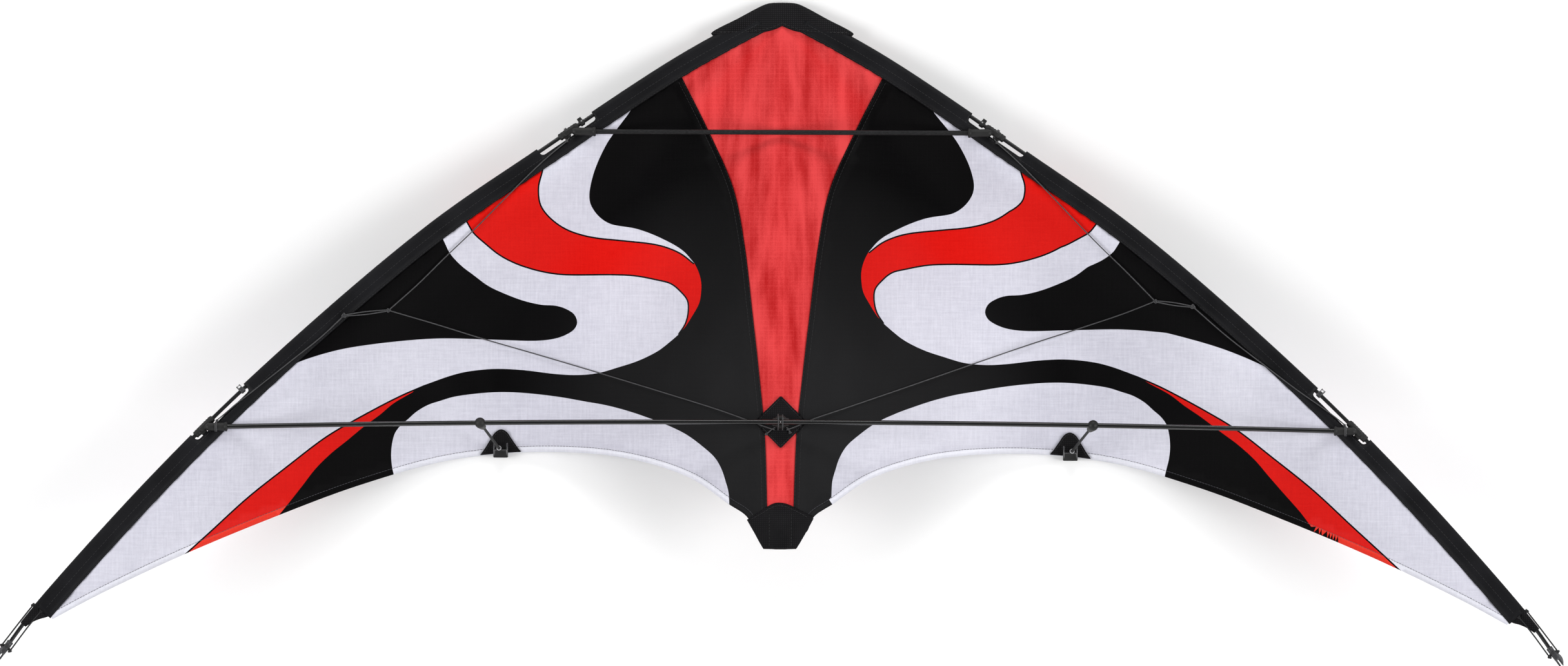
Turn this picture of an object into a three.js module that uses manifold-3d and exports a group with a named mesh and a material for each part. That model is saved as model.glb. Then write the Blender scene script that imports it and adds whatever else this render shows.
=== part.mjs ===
// Dual-line sport kite with a swept delta wing, lying on its back with its front face up.
// It rests on the nose patch and on the two standoff feet, so the frame rises towards the tail.
// Millimetres. X runs along the span, Y towards the nose, Z up. The origin is the centre of the
// footprint, on the surface that the kite lies on. The left wing is at negative X.
import * as THREE from 'three';
import { mergeVertices } from 'three/addons/utils/BufferGeometryUtils.js';
import Module from 'manifold-3d';

const wasm = await Module();
wasm.setup();

// Frame
const NOSE_ROD = [12, 332.5]; // where a leading-edge rod starts, beside the centre line
const NOSE_ROD_HEIGHT = 11.3;
const PITCH = 0.218; // rise of the frame towards the tail, per millimetre
const LEADING_EDGE = [NOSE_ROD, [107, 279.5], [253, 181.5], [360.5, 106], [518, -30], [637, -147.5],
  [765, -291.5], [790, -325.8]];
const EDGE_ROD_RADIUS = 2;
const EDGE_JOINT_X = 400; // where the upper and the lower leading-edge rods meet
const SPREADER_RADIUS = 2.5;
const SPREADER_BORE = 1.7;
const SPINE_RADIUS = 2.5;
const SPINE_DROP = 6; // the spine runs this far behind the leading edges
const SPINE_ENDS = [331, -214];
const RUNNING_GAP = 0.3;
const FERRULE_RADIUS = 1;
const FERRULE_HALF = 22;
const SPREADER_FERRULE_HALF = 35;

// Sleeves around the leading-edge rods
const SLEEVE_RADIUS = 3.2;
const SLEEVE_BORE = EDGE_ROD_RADIUS + 2 * RUNNING_GAP;
const SLEEVE_WIDTH = 18; // from the rod's axis to the sewn edge
const SLEEVE_FLAT = 5.5; // from the rod's axis to where the two layers meet
const SLEEVE_FLAT_HALF = 0.9;
const SLEEVE_START = 12; // along the rod, from its nose end
const SLEEVE_END_X = 758;
const UPPER_OPENING_X = [193, 249];
const LOWER_OPENING_X = [546.5, 600];
const OPENING_DEPTH = 6; // the opening leaves the strip that is further from the rod than this

// Sail
const SAIL_HALF = 0.6;
const SAG_DEPTH = 106.4; // how far the sail hangs behind the frame at the standoffs
const SAG_Y = -126;
const SAG_GROWTH = 1.15;
const SAG_ROUNDING = 1.5;
const SEAM_GAP = 0.8;
const CENTRE_SEAM = [[101.6, 259.5], [76, 208.7], [49.5, 148], [38, 92], [29.3, 20], [22, -43.9],
  [16, -107.8], [12.9, -204]];
const TRAILING_EDGE = [[12, -206], [26, -204], [34, -188], [53, -175], [92, -149], [158, -129], [244, -123],
  [337, -131.5], [429, -157], [518, -190.5], [614, -231], [699, -272], [747, -298]];
const WING_X = [13.8, 743];
const CENTRE_PANEL_Y = [314, -204];

// Spreaders and their fittings
const UPPER_SPREADER_Y = 205.5;
const UPPER_SPREADER_HALF = 205;
const LOWER_SPREADER_Y = [-91, -98.2]; // at the middle and at the ends
const LOWER_SPREADER_HALF = 578;
const ARM_RISE = 6; // the sockets lie this far in front of the leading edge
const LOWER_BOW = 14; // the lower spreader's middle lies this far in front of the frame
const ARM_RADIUS = 4.2;
const FITTING_RADIUS = 3.9;
const FITTING_BORE = EDGE_ROD_RADIUS + RUNNING_GAP;
const SOCKET_RADIUS = SPREADER_RADIUS + RUNNING_GAP;
const UPPER_FITTING_X = [209, 228];
const UPPER_ARM_MOUTH = 190.5;
const LOWER_FITTING_X = [580, 598];
const LOWER_ARM_MOUTH = 565;
const STOPPER_LENGTH = 5;
const STOPPER_RADIUS = 3.4;
const UPPER_STOPPER_X = 205;
const LOWER_STOPPER_X = 550.6;

// Standoffs: where the ball sits on the lower spreader and where the foot holds the trailing edge
const STANDOFFS = { left: { ball: 307, foot: 287 }, right: { ball: 319, foot: 297 } };
const BALL_RADIUS = 5.5;
const NECK_LENGTH = 17;
const STANDOFF_ROD_RADIUS = 1.4;
const FOOT_WIDTH = 15;
const FOOT_TOP = 13;

// Cords. The bridle lies slack on the sail, so each route is a list of places on the sail, with the
// height above it where that isn't the usual one.
const LINE_RADIUS = 0.6;
const LINE_LIFT = 2.4; // a line's axis lies this far above the middle of the sail
const KNOT_RADIUS = 2;
const KNOT_LIFT = 3.6;
const STRAND_SHIFT = 1.1;
const LEG_STEPS = 14;
const BUNGEE_RADIUS = 0.8;
const BRIDLES = {
  left: {
    innerKnot: [401.5, 21.5, KNOT_LIFT],
    outerKnot: [447, 16, KNOT_LIFT],
    upperLeg: [[221, 195, 3.4], [240, 179, 3], [262, 158], [316, 103], [345, 75], [371, 49]],
    innerLeg: [[6, -99, 4], [13, -97, 3.8], [28, -91.5, 3.6], [60, -80], [120, -61.5], [187, -41.5], [250, -23],
      [306, -7], [355, 8]],
    outerLeg: [[576, -91.5, 4], [568, -85, 3.4], [558, -76, 3], [540, -62], [502.5, -32], [469, -5]],
  },
  right: {
    innerKnot: [382.5, 34, KNOT_LIFT],
    outerKnot: [421, 28.5, KNOT_LIFT],
    upperLeg: [[221, 195, 3.4], [240, 178, 3], [264, 154], [324.5, 91.5], [350, 67]],
    innerLeg: [[6, -99, 4], [13, -97, 3.8], [30, -89, 3.6], [62, -78], [120, -58], [180, -37], [250, -12.5],
      [309, 7], [350, 21]],
    outerLeg: [[576, -91.5, 4], [568, -85, 3.4], [556, -76, 3], [530, -58], [494, -31], [455, -1]],
  },
};

const BLACK = { color: 0x141416, roughness: 0.6, metalness: 0 };
const materials = {
  carbon: new THREE.MeshStandardMaterial({ color: 0x0c0c0d, roughness: 0.25, metalness: 0.1 }),
  matteRod: new THREE.MeshStandardMaterial({ color: 0x222224, roughness: 0.75, metalness: 0 }),
  rubber: new THREE.MeshStandardMaterial({ color: 0x1b1b1c, roughness: 0.8, metalness: 0 }),
  clearPlastic: new THREE.MeshStandardMaterial({ color: 0x9a9a9c, roughness: 0.2, metalness: 0 }),
  ferrule: new THREE.MeshStandardMaterial({ color: 0xb0b2b5, roughness: 0.35, metalness: 0.9 }),
  sleeve: new THREE.MeshStandardMaterial(BLACK),
  webbing: new THREE.MeshStandardMaterial({ ...BLACK, roughness: 0.85 }),
  redSail: new THREE.MeshStandardMaterial({ color: 0xe03033, roughness: 0.45, metalness: 0 }),
  printedSail: new THREE.MeshStandardMaterial({ color: 0xcdccda, roughness: 0.45, metalness: 0 }),
  line: new THREE.MeshStandardMaterial({ color: 0x2a2a2c, roughness: 0.7, metalness: 0 }),
};

const group = new THREE.Group();

// ---- Solids ----

function toManifold(geometry) {
  const bare = geometry.clone();
  bare.deleteAttribute('normal');
  bare.deleteAttribute('uv');
  const merged = mergeVertices(bare, 1e-3);
  return new wasm.Manifold(new wasm.Mesh({
    numProp: 3,
    vertProperties: new Float32Array(merged.attributes.position.array),
    triVerts: new Uint32Array(merged.index.array),
  }));
}

function toGeometry(manifold) {
  const made = manifold.getMesh();
  const geometry = new THREE.BufferGeometry();
  geometry.setAttribute('position', new THREE.BufferAttribute(made.vertProperties, 3));
  geometry.setIndex(new THREE.BufferAttribute(made.triVerts, 1));
  geometry.computeVertexNormals();
  return geometry;
}

function cutFrom(geometry, ...tools) {
  return toGeometry(tools.reduce((left, tool) => left.subtract(toManifold(tool)), toManifold(geometry)));
}

function joined(...geometries) {
  return toGeometry(geometries.map(toManifold).reduce((all, next) => all.add(next)));
}

function bend(geometry, place) {
  const positions = geometry.attributes.position;
  const point = new THREE.Vector3();
  for (let i = 0; i < positions.count; i += 1) {
    point.fromBufferAttribute(positions, i);
    place(point);
    positions.setXYZ(i, point.x, point.y, point.z);
  }
  geometry.computeVertexNormals();
  return geometry;
}

function addPart(parent, name, geometry, material) {
  const mesh = new THREE.Mesh(geometry, material);
  mesh.name = name;
  parent.add(mesh);
}

function rodBetween(start, end, radius, sides = 12) {
  const length = start.distanceTo(end);
  const turn = new THREE.Quaternion().setFromUnitVectors(
    new THREE.Vector3(0, 1, 0), end.clone().sub(start).normalize());
  const middle = start.clone().add(end).multiplyScalar(0.5);
  return new THREE.CylinderGeometry(radius, radius, length, sides)
    .applyQuaternion(turn).translate(middle.x, middle.y, middle.z);
}

function ball(centre, radius) {
  return new THREE.SphereGeometry(radius, 12, 8).translate(centre.x, centre.y, centre.z);
}

function roundSection(radius, bore, sides) {
  const section = new THREE.Shape().absarc(0, 0, radius, 0, 2 * Math.PI);
  if (bore) section.holes.push(new THREE.Path().absarc(0, 0, bore, 0, 2 * Math.PI, true));
  return { section, segments: sides / 2 };
}

// A section swept along z from low to high, before it is bent onto a path.
function sweep({ section, segments }, low, high, steps) {
  return new THREE.ExtrudeGeometry(section, {
    depth: high - low, steps, curveSegments: segments, bevelEnabled: false,
  }).translate(0, 0, low);
}

// A value of a smooth curve through points that rise in x, or fall in y, read at one coordinate.
function readCurve(points, from, to) {
  const curve = new THREE.CatmullRomCurve3(points.map(([x, y]) => new THREE.Vector3(x, y, 0)), false,
    'centripetal');
  const samples = curve.getPoints(40 * points.length);
  samples.sort((a, b) => a[from] - b[from]);
  return (value) => {
    const next = samples.findIndex((sample) => sample[from] > value);
    const high = Math.max(1, next < 0 ? samples.length - 1 : next);
    const [a, b] = [samples[high - 1], samples[high]];
    const share = (value - a[from]) / Math.max(1e-6, b[from] - a[from]);
    return a[to] + (b[to] - a[to]) * share;
  };
}

// ---- Frame surfaces and curves ----

function frameZ(y) {
  return NOSE_ROD_HEIGHT + PITCH * (NOSE_ROD[1] - y);
}

const frontDirection = new THREE.Vector3(0, PITCH, 1).normalize();
const edgeCurve = new THREE.CatmullRomCurve3(
  LEADING_EDGE.map(([x, y]) => new THREE.Vector3(x, y, frameZ(y))), false, 'centripetal');
edgeCurve.arcLengthDivisions = 1200;
const EDGE_LENGTH = edgeCurve.getLength();

// A point beside the leading edge: so far along the rod, outward of it and in front of it.
function besideEdge(along, outward, front) {
  const share = THREE.MathUtils.clamp(along / EDGE_LENGTH, 0, 1);
  const tangent = edgeCurve.getTangentAt(share);
  const outwards = new THREE.Vector3().crossVectors(frontDirection, tangent);
  return edgeCurve.getPointAt(share).addScaledVector(outwards, outward)
    .addScaledVector(frontDirection, front);
}

function onEdge(point) {
  point.copy(besideEdge(point.z, point.x, point.y));
}

function alongAtX(x) {
  let [low, high] = [0, EDGE_LENGTH];
  for (let i = 0; i < 40; i += 1) {
    const middle = (low + high) / 2;
    if (besideEdge(middle, 0, 0).x < x) low = middle;
    else high = middle;
  }
  return low;
}

// The half width between the sewn edges of the two sleeves at a given y, and that edge's y at a given x.
const innerEdge = Array.from({ length: 60 }, (_, i) => {
  const point = besideEdge((i / 59) * EDGE_LENGTH, -SLEEVE_WIDTH, 0);
  return [point.x, point.y];
});
const innerEdgeX = readCurve(innerEdge, 'y', 'x');
const innerEdgeY = readCurve(innerEdge, 'x', 'y');
const seamX = readCurve(CENTRE_SEAM, 'y', 'x');
const seamY = readCurve(CENTRE_SEAM, 'x', 'y');
const trailingY = readCurve(TRAILING_EDGE, 'x', 'y');

// The sail hangs from the leading edges and the spine, deepest half way between them.
function sailZ(x, y) {
  const across = THREE.MathUtils.clamp(Math.abs(x) / innerEdgeX(y), 0, 1);
  const down = Math.max(0, NOSE_ROD[1] - y) / (NOSE_ROD[1] - SAG_Y);
  return frameZ(y) - SAG_DEPTH * down ** SAG_GROWTH * Math.sin(Math.PI * across) ** SAG_ROUNDING;
}

// A sheet that follows the sail: outline turns shares across and down into x and y.
function sheet(columns, rows, lift, half, outline) {
  const flat = new THREE.BoxGeometry(1, 1, 2 * half, columns, rows, 1);
  return bend(flat, (point) => {
    const [x, y] = outline(point.x + 0.5, point.y + 0.5);
    point.set(x, y, sailZ(x, y) + lift + point.z);
  });
}

function sailPoint(x, y, lift) {
  return new THREE.Vector3(x, y, sailZ(x, y) + lift);
}

// ---- Sail and patches ----

function centrePanel() {
  const halfWidth = (y) => Math.min(innerEdgeX(y) - 2 * SEAM_GAP,
    y > CENTRE_SEAM[0][1] ? Infinity : seamX(y) - SEAM_GAP / 2);
  const panel = sheet(6, 26, 0, SAIL_HALF, (u, v) => {
    const y = THREE.MathUtils.lerp(CENTRE_PANEL_Y[1], CENTRE_PANEL_Y[0], v);
    return [(2 * u - 1) * halfWidth(y), y];
  });
  return cutFrom(panel, hubHole());
}

function wingPanel() {
  const top = (x) => Math.min(innerEdgeY(x), x < CENTRE_SEAM[0][0] ? seamY(x - SEAM_GAP / 2) : Infinity)
    - SEAM_GAP / 2;
  return sheet(34, 6, 0, SAIL_HALF, (u, v) => {
    const x = THREE.MathUtils.lerp(WING_X[0], WING_X[1], u ** 1.6);
    return [x, THREE.MathUtils.lerp(trailingY(x), top(x), v)];
  });
}

function sleeve() {
  const section = new THREE.Shape();
  const meet = Math.PI * 0.56;
  section.moveTo(-SLEEVE_WIDTH, -SLEEVE_FLAT_HALF);
  section.lineTo(-SLEEVE_FLAT, -SLEEVE_FLAT_HALF);
  section.absarc(0, 0, SLEEVE_RADIUS, -meet, meet);
  section.lineTo(-SLEEVE_FLAT, SLEEVE_FLAT_HALF);
  section.lineTo(-SLEEVE_WIDTH, SLEEVE_FLAT_HALF);
  section.holes.push(new THREE.Path().absarc(0, 0, SLEEVE_BORE, 0, 2 * Math.PI, true));
  const body = bend(sweep({ section, segments: 4 }, SLEEVE_START, alongAtX(SLEEVE_END_X), 24), onEdge);
  const openings = [UPPER_OPENING_X, LOWER_OPENING_X].map(([from, to]) => {
    const [low, high] = [alongAtX(from), alongAtX(to)];
    const reach = 10;
    return bend(new THREE.BoxGeometry(reach + OPENING_DEPTH, 2 * reach, high - low, 1, 1, 4)
      .translate((reach - OPENING_DEPTH) / 2, 0, (low + high) / 2), onEdge);
  });
  return cutFrom(body, ...openings);
}

const PATCH_HALF = 0.5;
const PATCH_LIFT = SAIL_HALF + RUNNING_GAP + PATCH_HALF;

function diamondPatch() {
  const side = 38;
  const reach = side / Math.SQRT2;
  const patch = sheet(6, 6, PATCH_LIFT, PATCH_HALF, (u, v) => [
    (u + v - 1) * reach, LOWER_SPREADER_Y[0] + (v - u) * reach,
  ]);
  return cutFrom(patch, hubHole());
}

function standoffPatch(foot) {
  const clearOfSag = 0.9;
  const halfBase = 20.5;
  const height = 27;
  const roundness = 0.62;
  return sheet(8, 4, PATCH_LIFT + clearOfSag, PATCH_HALF, (u, v) => {
    const x = foot + (2 * u - 1) * halfBase * (1 - roundness * v ** 1.4);
    const apex = height * (1 - 0.35 * (2 * u - 1) ** 2);
    return [x, trailingY(x) + 0.5 + v * apex];
  });
}

// The nose patch is folded over both leading edges and the spine, and is open towards the tail.
function nosePatch() {
  const wall = 1.2;
  const [back, front] = [-10, 5.7];
  const outline = (inset, tailward) => {
    const half = [[0, 338.6 - inset], [17, 338 - inset], [73 - inset, 307.5 - inset], [71 - inset, 305 - tailward],
      [24, 308.5 - tailward], [6, 311 - tailward]];
    const shape = new THREE.Shape().moveTo(...half[0]);
    half.slice(1).forEach(([x, y]) => shape.lineTo(x, y));
    shape.lineTo(0, 315 - tailward);
    half.slice(1).reverse().forEach(([x, y]) => shape.lineTo(-x, y));
    return shape;
  };
  const prism = (shape, low, high) => bend(new THREE.ExtrudeGeometry(shape, {
    depth: high - low, bevelEnabled: false,
  }).translate(0, 0, low), (point) => { point.z += frameZ(point.y); });
  const cavityTail = 30;
  return cutFrom(prism(outline(0, 0), back, front),
    prism(outline(wall, cavityTail), back + wall, front - wall));
}

// The tail patch is a plate over the sail's end with a pocket for the spine behind the sail.
function tailPatch() {
  const [bottom, top, shoulder] = [-220.5, -173.5, -189];
  const plate = sheet(10, 4, PATCH_LIFT, PATCH_HALF, (u, v) => {
    const across = 2 * u - 1;
    const upper = THREE.MathUtils.lerp(top, shoulder, Math.max(0, Math.abs(across) - 0.3) / 0.7);
    const y = THREE.MathUtils.lerp(bottom, upper, v);
    const halfWidth = THREE.MathUtils.mapLinear(y, bottom, shoulder, 16.5, 33.5);
    return [across * Math.min(halfWidth, 33.5), y];
  });
  const wall = 1.2;
  const pocketLength = 36;
  const bore = SPINE_RADIUS + RUNNING_GAP;
  const outer = new THREE.BoxGeometry(2 * (bore + wall), pocketLength, 2 * (bore + wall))
    .translate(0, bottom + pocketLength / 2, -SPINE_DROP);
  const channel = new THREE.BoxGeometry(2 * bore, pocketLength, 2 * bore)
    .translate(0, bottom + pocketLength / 2 + wall + 2, -SPINE_DROP);
  const tab = new THREE.BoxGeometry(24, 4, SPINE_DROP).translate(0, bottom + 2, -SPINE_DROP / 2 + PATCH_LIFT);
  const tilt = (geometry) => bend(geometry, (point) => { point.z += frameZ(point.y); });
  return joined(cutFrom(joined(tilt(outer), tilt(tab)), tilt(channel)), plate);
}

// ---- Centre T ----

const hubCentre = new THREE.Vector3(0, LOWER_SPREADER_Y[0], frameZ(LOWER_SPREADER_Y[0]));
const HUB_RADIUS = 7.5;
const HUB_CLEARANCE = 0.5;

function hubHole() {
  const radius = HUB_RADIUS + HUB_CLEARANCE;
  return new THREE.CylinderGeometry(radius, radius, 30, 20).rotateX(Math.PI / 2)
    .translate(hubCentre.x, hubCentre.y, hubCentre.z);
}

function centreT() {
  const spineAt = (y) => new THREE.Vector3(0, y, frameZ(y) - SPINE_DROP);
  const [y, halfTube] = [hubCentre.y, 12];
  const tube = rodBetween(spineAt(y - halfTube), spineAt(y + halfTube), SPINE_RADIUS + 1.9, 16);
  const low = hubCentre.z - SPINE_DROP;
  const high = hubCentre.z + LOWER_BOW;
  const riser = new THREE.CylinderGeometry(HUB_RADIUS - 1, HUB_RADIUS, high - low, 20).rotateX(Math.PI / 2)
    .translate(0, y, (low + high) / 2);
  const spineBore = rodBetween(spineAt(y - 30), spineAt(y + 30), SPINE_RADIUS + RUNNING_GAP, 16);
  const groove = rodBetween(new THREE.Vector3(-20, y, high), new THREE.Vector3(20, y, high), SOCKET_RADIUS);
  return cutFrom(joined(tube, riser), spineBore, groove);
}

// ---- Rods ----

function lowerSpreaderPoint(x) {
  const share = (x / LOWER_SPREADER_HALF) ** 2;
  const [middleY, endY] = LOWER_SPREADER_Y;
  return new THREE.Vector3(x, THREE.MathUtils.lerp(middleY, endY, share),
    THREE.MathUtils.lerp(frameZ(middleY) + LOWER_BOW, frameZ(endY) + ARM_RISE, share));
}

function upperSpreaderPoint(x) {
  return new THREE.Vector3(x, UPPER_SPREADER_Y, frameZ(UPPER_SPREADER_Y) + ARM_RISE);
}

function onLowerSpreader(point) {
  const axis = lowerSpreaderPoint(point.z);
  point.set(axis.x, axis.y + point.x, axis.z + point.y);
}

function tubeOnEdge(fromX, toX, radius, bore, steps) {
  return bend(sweep(roundSection(radius, bore, 10), alongAtX(fromX), alongAtX(toX), steps), onEdge);
}

// ---- Fittings ----

// A rubber fitting: a tube on the leading-edge rod, and a socket arm that holds the spreader's end.
function edgeFitting([fromX, toX], mouthX, spreaderEnd, spreaderPoint) {
  const clip = tubeOnEdge(fromX, toX, FITTING_RADIUS, 0, 1);
  const rodBore = tubeOnEdge(fromX - 5, toX + 5, FITTING_BORE, 0, 2);
  const end = spreaderPoint(spreaderEnd);
  const along = end.clone().sub(spreaderPoint(mouthX)).normalize();
  const at = (x) => end.clone().addScaledVector(along, x - spreaderEnd);
  const root = at(Math.min(toX - 6, spreaderEnd + 6));
  const arm = joined(rodBetween(at(mouthX), root, ARM_RADIUS), ball(root, ARM_RADIUS));
  const socket = rodBetween(at(mouthX - 5), at(spreaderEnd + RUNNING_GAP), SOCKET_RADIUS);
  return cutFrom(joined(clip, arm), rodBore, socket);
}

// A collar that slides on the leading-edge rod, with a tab on its outer side.
function stopper(x) {
  const middle = alongAtX(x);
  const half = STOPPER_LENGTH / 2;
  const collar = bend(sweep(roundSection(STOPPER_RADIUS, 0, 12), middle - half, middle + half, 1), onEdge);
  const tab = bend(new THREE.BoxGeometry(5, 3, STOPPER_LENGTH)
    .translate(STOPPER_RADIUS, 0, middle), onEdge);
  const bore = bend(sweep(roundSection(FITTING_BORE, 0, 10), middle - 9, middle + 9, 2), onEdge);
  return cutFrom(joined(collar, tab), bore);
}

// A split cap on the wing tip.
function nock() {
  const [length, cover, radius] = [24, 10, 3.4];
  const start = EDGE_LENGTH - cover;
  const end = start + length;
  const axis = edgeCurve.getTangentAt(1);
  const tip = edgeCurve.getPointAt(1);
  const at = (along) => tip.clone().addScaledVector(axis, along - EDGE_LENGTH);
  const turn = new THREE.Quaternion().setFromUnitVectors(new THREE.Vector3(0, 1, 0), axis);
  const middle = at((start + end) / 2);
  const body = new THREE.CylinderGeometry(radius * 0.62, radius, length, 16)
    .applyQuaternion(turn).translate(middle.x, middle.y, middle.z);
  const bore = rodBetween(at(start - 3), at(EDGE_LENGTH + RUNNING_GAP), FITTING_BORE);
  const slot = new THREE.BoxGeometry(2, 7, 10).applyQuaternion(turn).translate(...at(end).toArray());
  return cutFrom(body, bore, slot);
}

// ---- Standoffs ----

function standoff({ ball: ballX, foot: footX }) {
  const centre = lowerSpreaderPoint(ballX);
  const edgeY = trailingY(footX);
  const seat = new THREE.Vector3(footX, edgeY + 3.5, FOOT_TOP - 4);
  const down = seat.clone().sub(centre).normalize();
  const at = (distance) => centre.clone().addScaledVector(down, distance);
  const length = centre.distanceTo(seat);
  const turn = new THREE.Quaternion().setFromUnitVectors(new THREE.Vector3(0, -1, 0), down);
  const neckMiddle = at(NECK_LENGTH / 2);
  const neck = new THREE.CylinderGeometry(BALL_RADIUS * 0.9, STANDOFF_ROD_RADIUS + 1.6, NECK_LENGTH, 16)
    .applyQuaternion(turn).translate(neckMiddle.x, neckMiddle.y, neckMiddle.z);
  const spreaderBore = rodBetween(lowerSpreaderPoint(ballX - 9), lowerSpreaderPoint(ballX + 9), SOCKET_RADIUS, 16);
  const rodStart = SPREADER_RADIUS + 5;
  const rodSocket = rodBetween(at(rodStart), at(NECK_LENGTH + 3), STANDOFF_ROD_RADIUS + RUNNING_GAP);
  const connector = cutFrom(joined(ball(centre, BALL_RADIUS), neck), spreaderBore, rodSocket);

  const rod = rodBetween(at(rodStart + RUNNING_GAP), at(length), STANDOFF_ROD_RADIUS);
  const footSocket = rodBetween(at(length - 12), at(length + RUNNING_GAP), STANDOFF_ROD_RADIUS + RUNNING_GAP);
  const box = (y0, y1, z0, z1) => new THREE.BoxGeometry(FOOT_WIDTH, y1 - y0, z1 - z0)
    .translate(footX, edgeY + (y0 + y1) / 2, (z0 + z1) / 2);
  const [lipTop, lipDepth, slotTop] = [3, 2, 9];
  const foot = cutFrom(
    joined(box(-4, 11, slotTop, FOOT_TOP), box(-4, -1, 0, FOOT_TOP), box(-4, lipDepth, 0, lipTop)),
    footSocket);
  return { connector, rod, foot };
}

// ---- Cords ----

function cord(points, radius, steps) {
  const { section, segments } = roundSection(radius, 0, 8);
  return new THREE.ExtrudeGeometry(section, {
    steps,
    extrudePath: new THREE.CatmullRomCurve3(points, false, 'centripetal'),
    curveSegments: segments,
    bevelEnabled: false,
  });
}

// The point of a line just short of a knot that it runs into.
function besideKnot(knot, from) {
  return knot.clone().add(from.clone().sub(knot).setLength(KNOT_RADIUS + RUNNING_GAP));
}

function bridle(side) {
  const route = BRIDLES[side];
  const line = (points) => points.map(([x, y, lift = LINE_LIFT]) => sailPoint(x, y, lift));
  const [inner, outer] = line([route.innerKnot, route.outerKnot]);
  const leg = (points, knot) => {
    const lying = line(points);
    return cord([...lying, besideKnot(knot, lying.at(-1))], LINE_RADIUS, LEG_STEPS);
  };
  const strand = (shift) => {
    const aside = new THREE.Vector3(0, shift, 0);
    return cord([besideKnot(inner, outer).add(aside), besideKnot(outer, inner).add(aside)], LINE_RADIUS, 2);
  };
  return {
    bridle_upper_leg: leg(route.upperLeg, inner),
    bridle_inner_leg: leg(route.innerLeg, inner),
    bridle_outer_leg: leg(route.outerLeg, outer),
    tow_loop_front: strand(STRAND_SHIFT),
    tow_loop_back: strand(-STRAND_SHIFT),
    bridle_knot: ball(inner, KNOT_RADIUS),
    tow_knot: ball(outer, KNOT_RADIUS),
  };
}

// An elastic cord that ties the sleeve's end to the nock, so far outward of the rod at each end.
function tipBungee(atSleeve, atNock) {
  const sleeveEnd = alongAtX(SLEEVE_END_X) + 1;
  return cord([besideEdge(sleeveEnd, atSleeve, 0), besideEdge(sleeveEnd + 18, 0.95 * atSleeve, 0),
    besideEdge(EDGE_LENGTH - 1, atNock, 0)], BUNGEE_RADIUS, 6);
}

// ---- Assembly ----

function addSide(side) {
  const wing = new THREE.Group();
  wing.scale.x = side === 'left' ? -1 : 1;
  group.add(wing);
  const add = (name, geometry, material) => addPart(wing, `${name}_${side}`, geometry, material);

  const [rodStartX, rodEndX] = [LEADING_EDGE[0][0] + 0.1, LEADING_EDGE.at(-1)[0] - 0.1];
  const jointBore = () => tubeOnEdge(EDGE_JOINT_X - FERRULE_HALF - RUNNING_GAP,
    EDGE_JOINT_X + FERRULE_HALF + RUNNING_GAP, FERRULE_RADIUS + RUNNING_GAP, 0, 4);
  const edgeRod = (fromX, toX) => cutFrom(tubeOnEdge(fromX, toX, EDGE_ROD_RADIUS, 0, 12), jointBore());
  add('leading_edge_rod_upper', edgeRod(rodStartX, EDGE_JOINT_X - 0.2), materials.carbon);
  add('leading_edge_rod_lower', edgeRod(EDGE_JOINT_X + 0.2, rodEndX), materials.carbon);
  add('leading_edge_ferrule', tubeOnEdge(EDGE_JOINT_X - FERRULE_HALF, EDGE_JOINT_X + FERRULE_HALF,
    FERRULE_RADIUS, 0, 4), materials.ferrule);
  add('leading_edge_sleeve', sleeve(), materials.sleeve);
  add('wing_panel', wingPanel(), materials.printedSail);
  add('upper_edge_fitting', edgeFitting(UPPER_FITTING_X, UPPER_ARM_MOUTH, UPPER_SPREADER_HALF,
    upperSpreaderPoint), materials.rubber);
  add('lower_edge_fitting', edgeFitting(LOWER_FITTING_X, LOWER_ARM_MOUTH, LOWER_SPREADER_HALF,
    lowerSpreaderPoint), materials.rubber);
  add('upper_stopper', stopper(UPPER_STOPPER_X), materials.rubber);
  add('lower_stopper', stopper(LOWER_STOPPER_X), materials.clearPlastic);
  add('nock', nock(), materials.clearPlastic);
  add('lower_spreader', bend(sweep(roundSection(SPREADER_RADIUS, SPREADER_BORE, 12), 0.2, LOWER_SPREADER_HALF, 12),
    onLowerSpreader), materials.carbon);

  const { connector, rod, foot } = standoff(STANDOFFS[side]);
  add('standoff_ball', connector, materials.rubber);
  add('standoff_rod', rod, materials.carbon);
  add('standoff_foot', foot, materials.clearPlastic);
  add('standoff_patch', standoffPatch(STANDOFFS[side].foot), materials.webbing);

  Object.entries(bridle(side)).forEach(([name, geometry]) => add(name, geometry, materials.line));
  add('tip_bungee_inner', tipBungee(-6, -5.2), materials.line);
  add('tip_bungee_outer', tipBungee(4.4, 5.2), materials.line);
}

addPart(group, 'centre_panel', centrePanel(), materials.redSail);
addPart(group, 'nose_patch', nosePatch(), materials.webbing);
addPart(group, 'tail_patch', tailPatch(), materials.webbing);
addPart(group, 'diamond_patch', diamondPatch(), materials.webbing);
const spinePoint = (y) => new THREE.Vector3(0, y, frameZ(y) - SPINE_DROP);
addPart(group, 'spine', rodBetween(spinePoint(SPINE_ENDS[0]), spinePoint(SPINE_ENDS[1]), SPINE_RADIUS, 16),
  materials.carbon);
addPart(group, 'centre_t', centreT(), materials.rubber);
addPart(group, 'upper_spreader', rodBetween(upperSpreaderPoint(-UPPER_SPREADER_HALF),
  upperSpreaderPoint(UPPER_SPREADER_HALF), SPREADER_RADIUS, 16), materials.matteRod);
addPart(group, 'lower_spreader_ferrule', bend(sweep(
  roundSection(SPREADER_BORE - RUNNING_GAP, 0, 10), -SPREADER_FERRULE_HALF, SPREADER_FERRULE_HALF, 2,
), onLowerSpreader), materials.ferrule);
addSide('left');
addSide('right');

export default group;
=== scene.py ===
"""A swept delta sport kite that lies on its back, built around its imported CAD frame."""
import math

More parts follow.
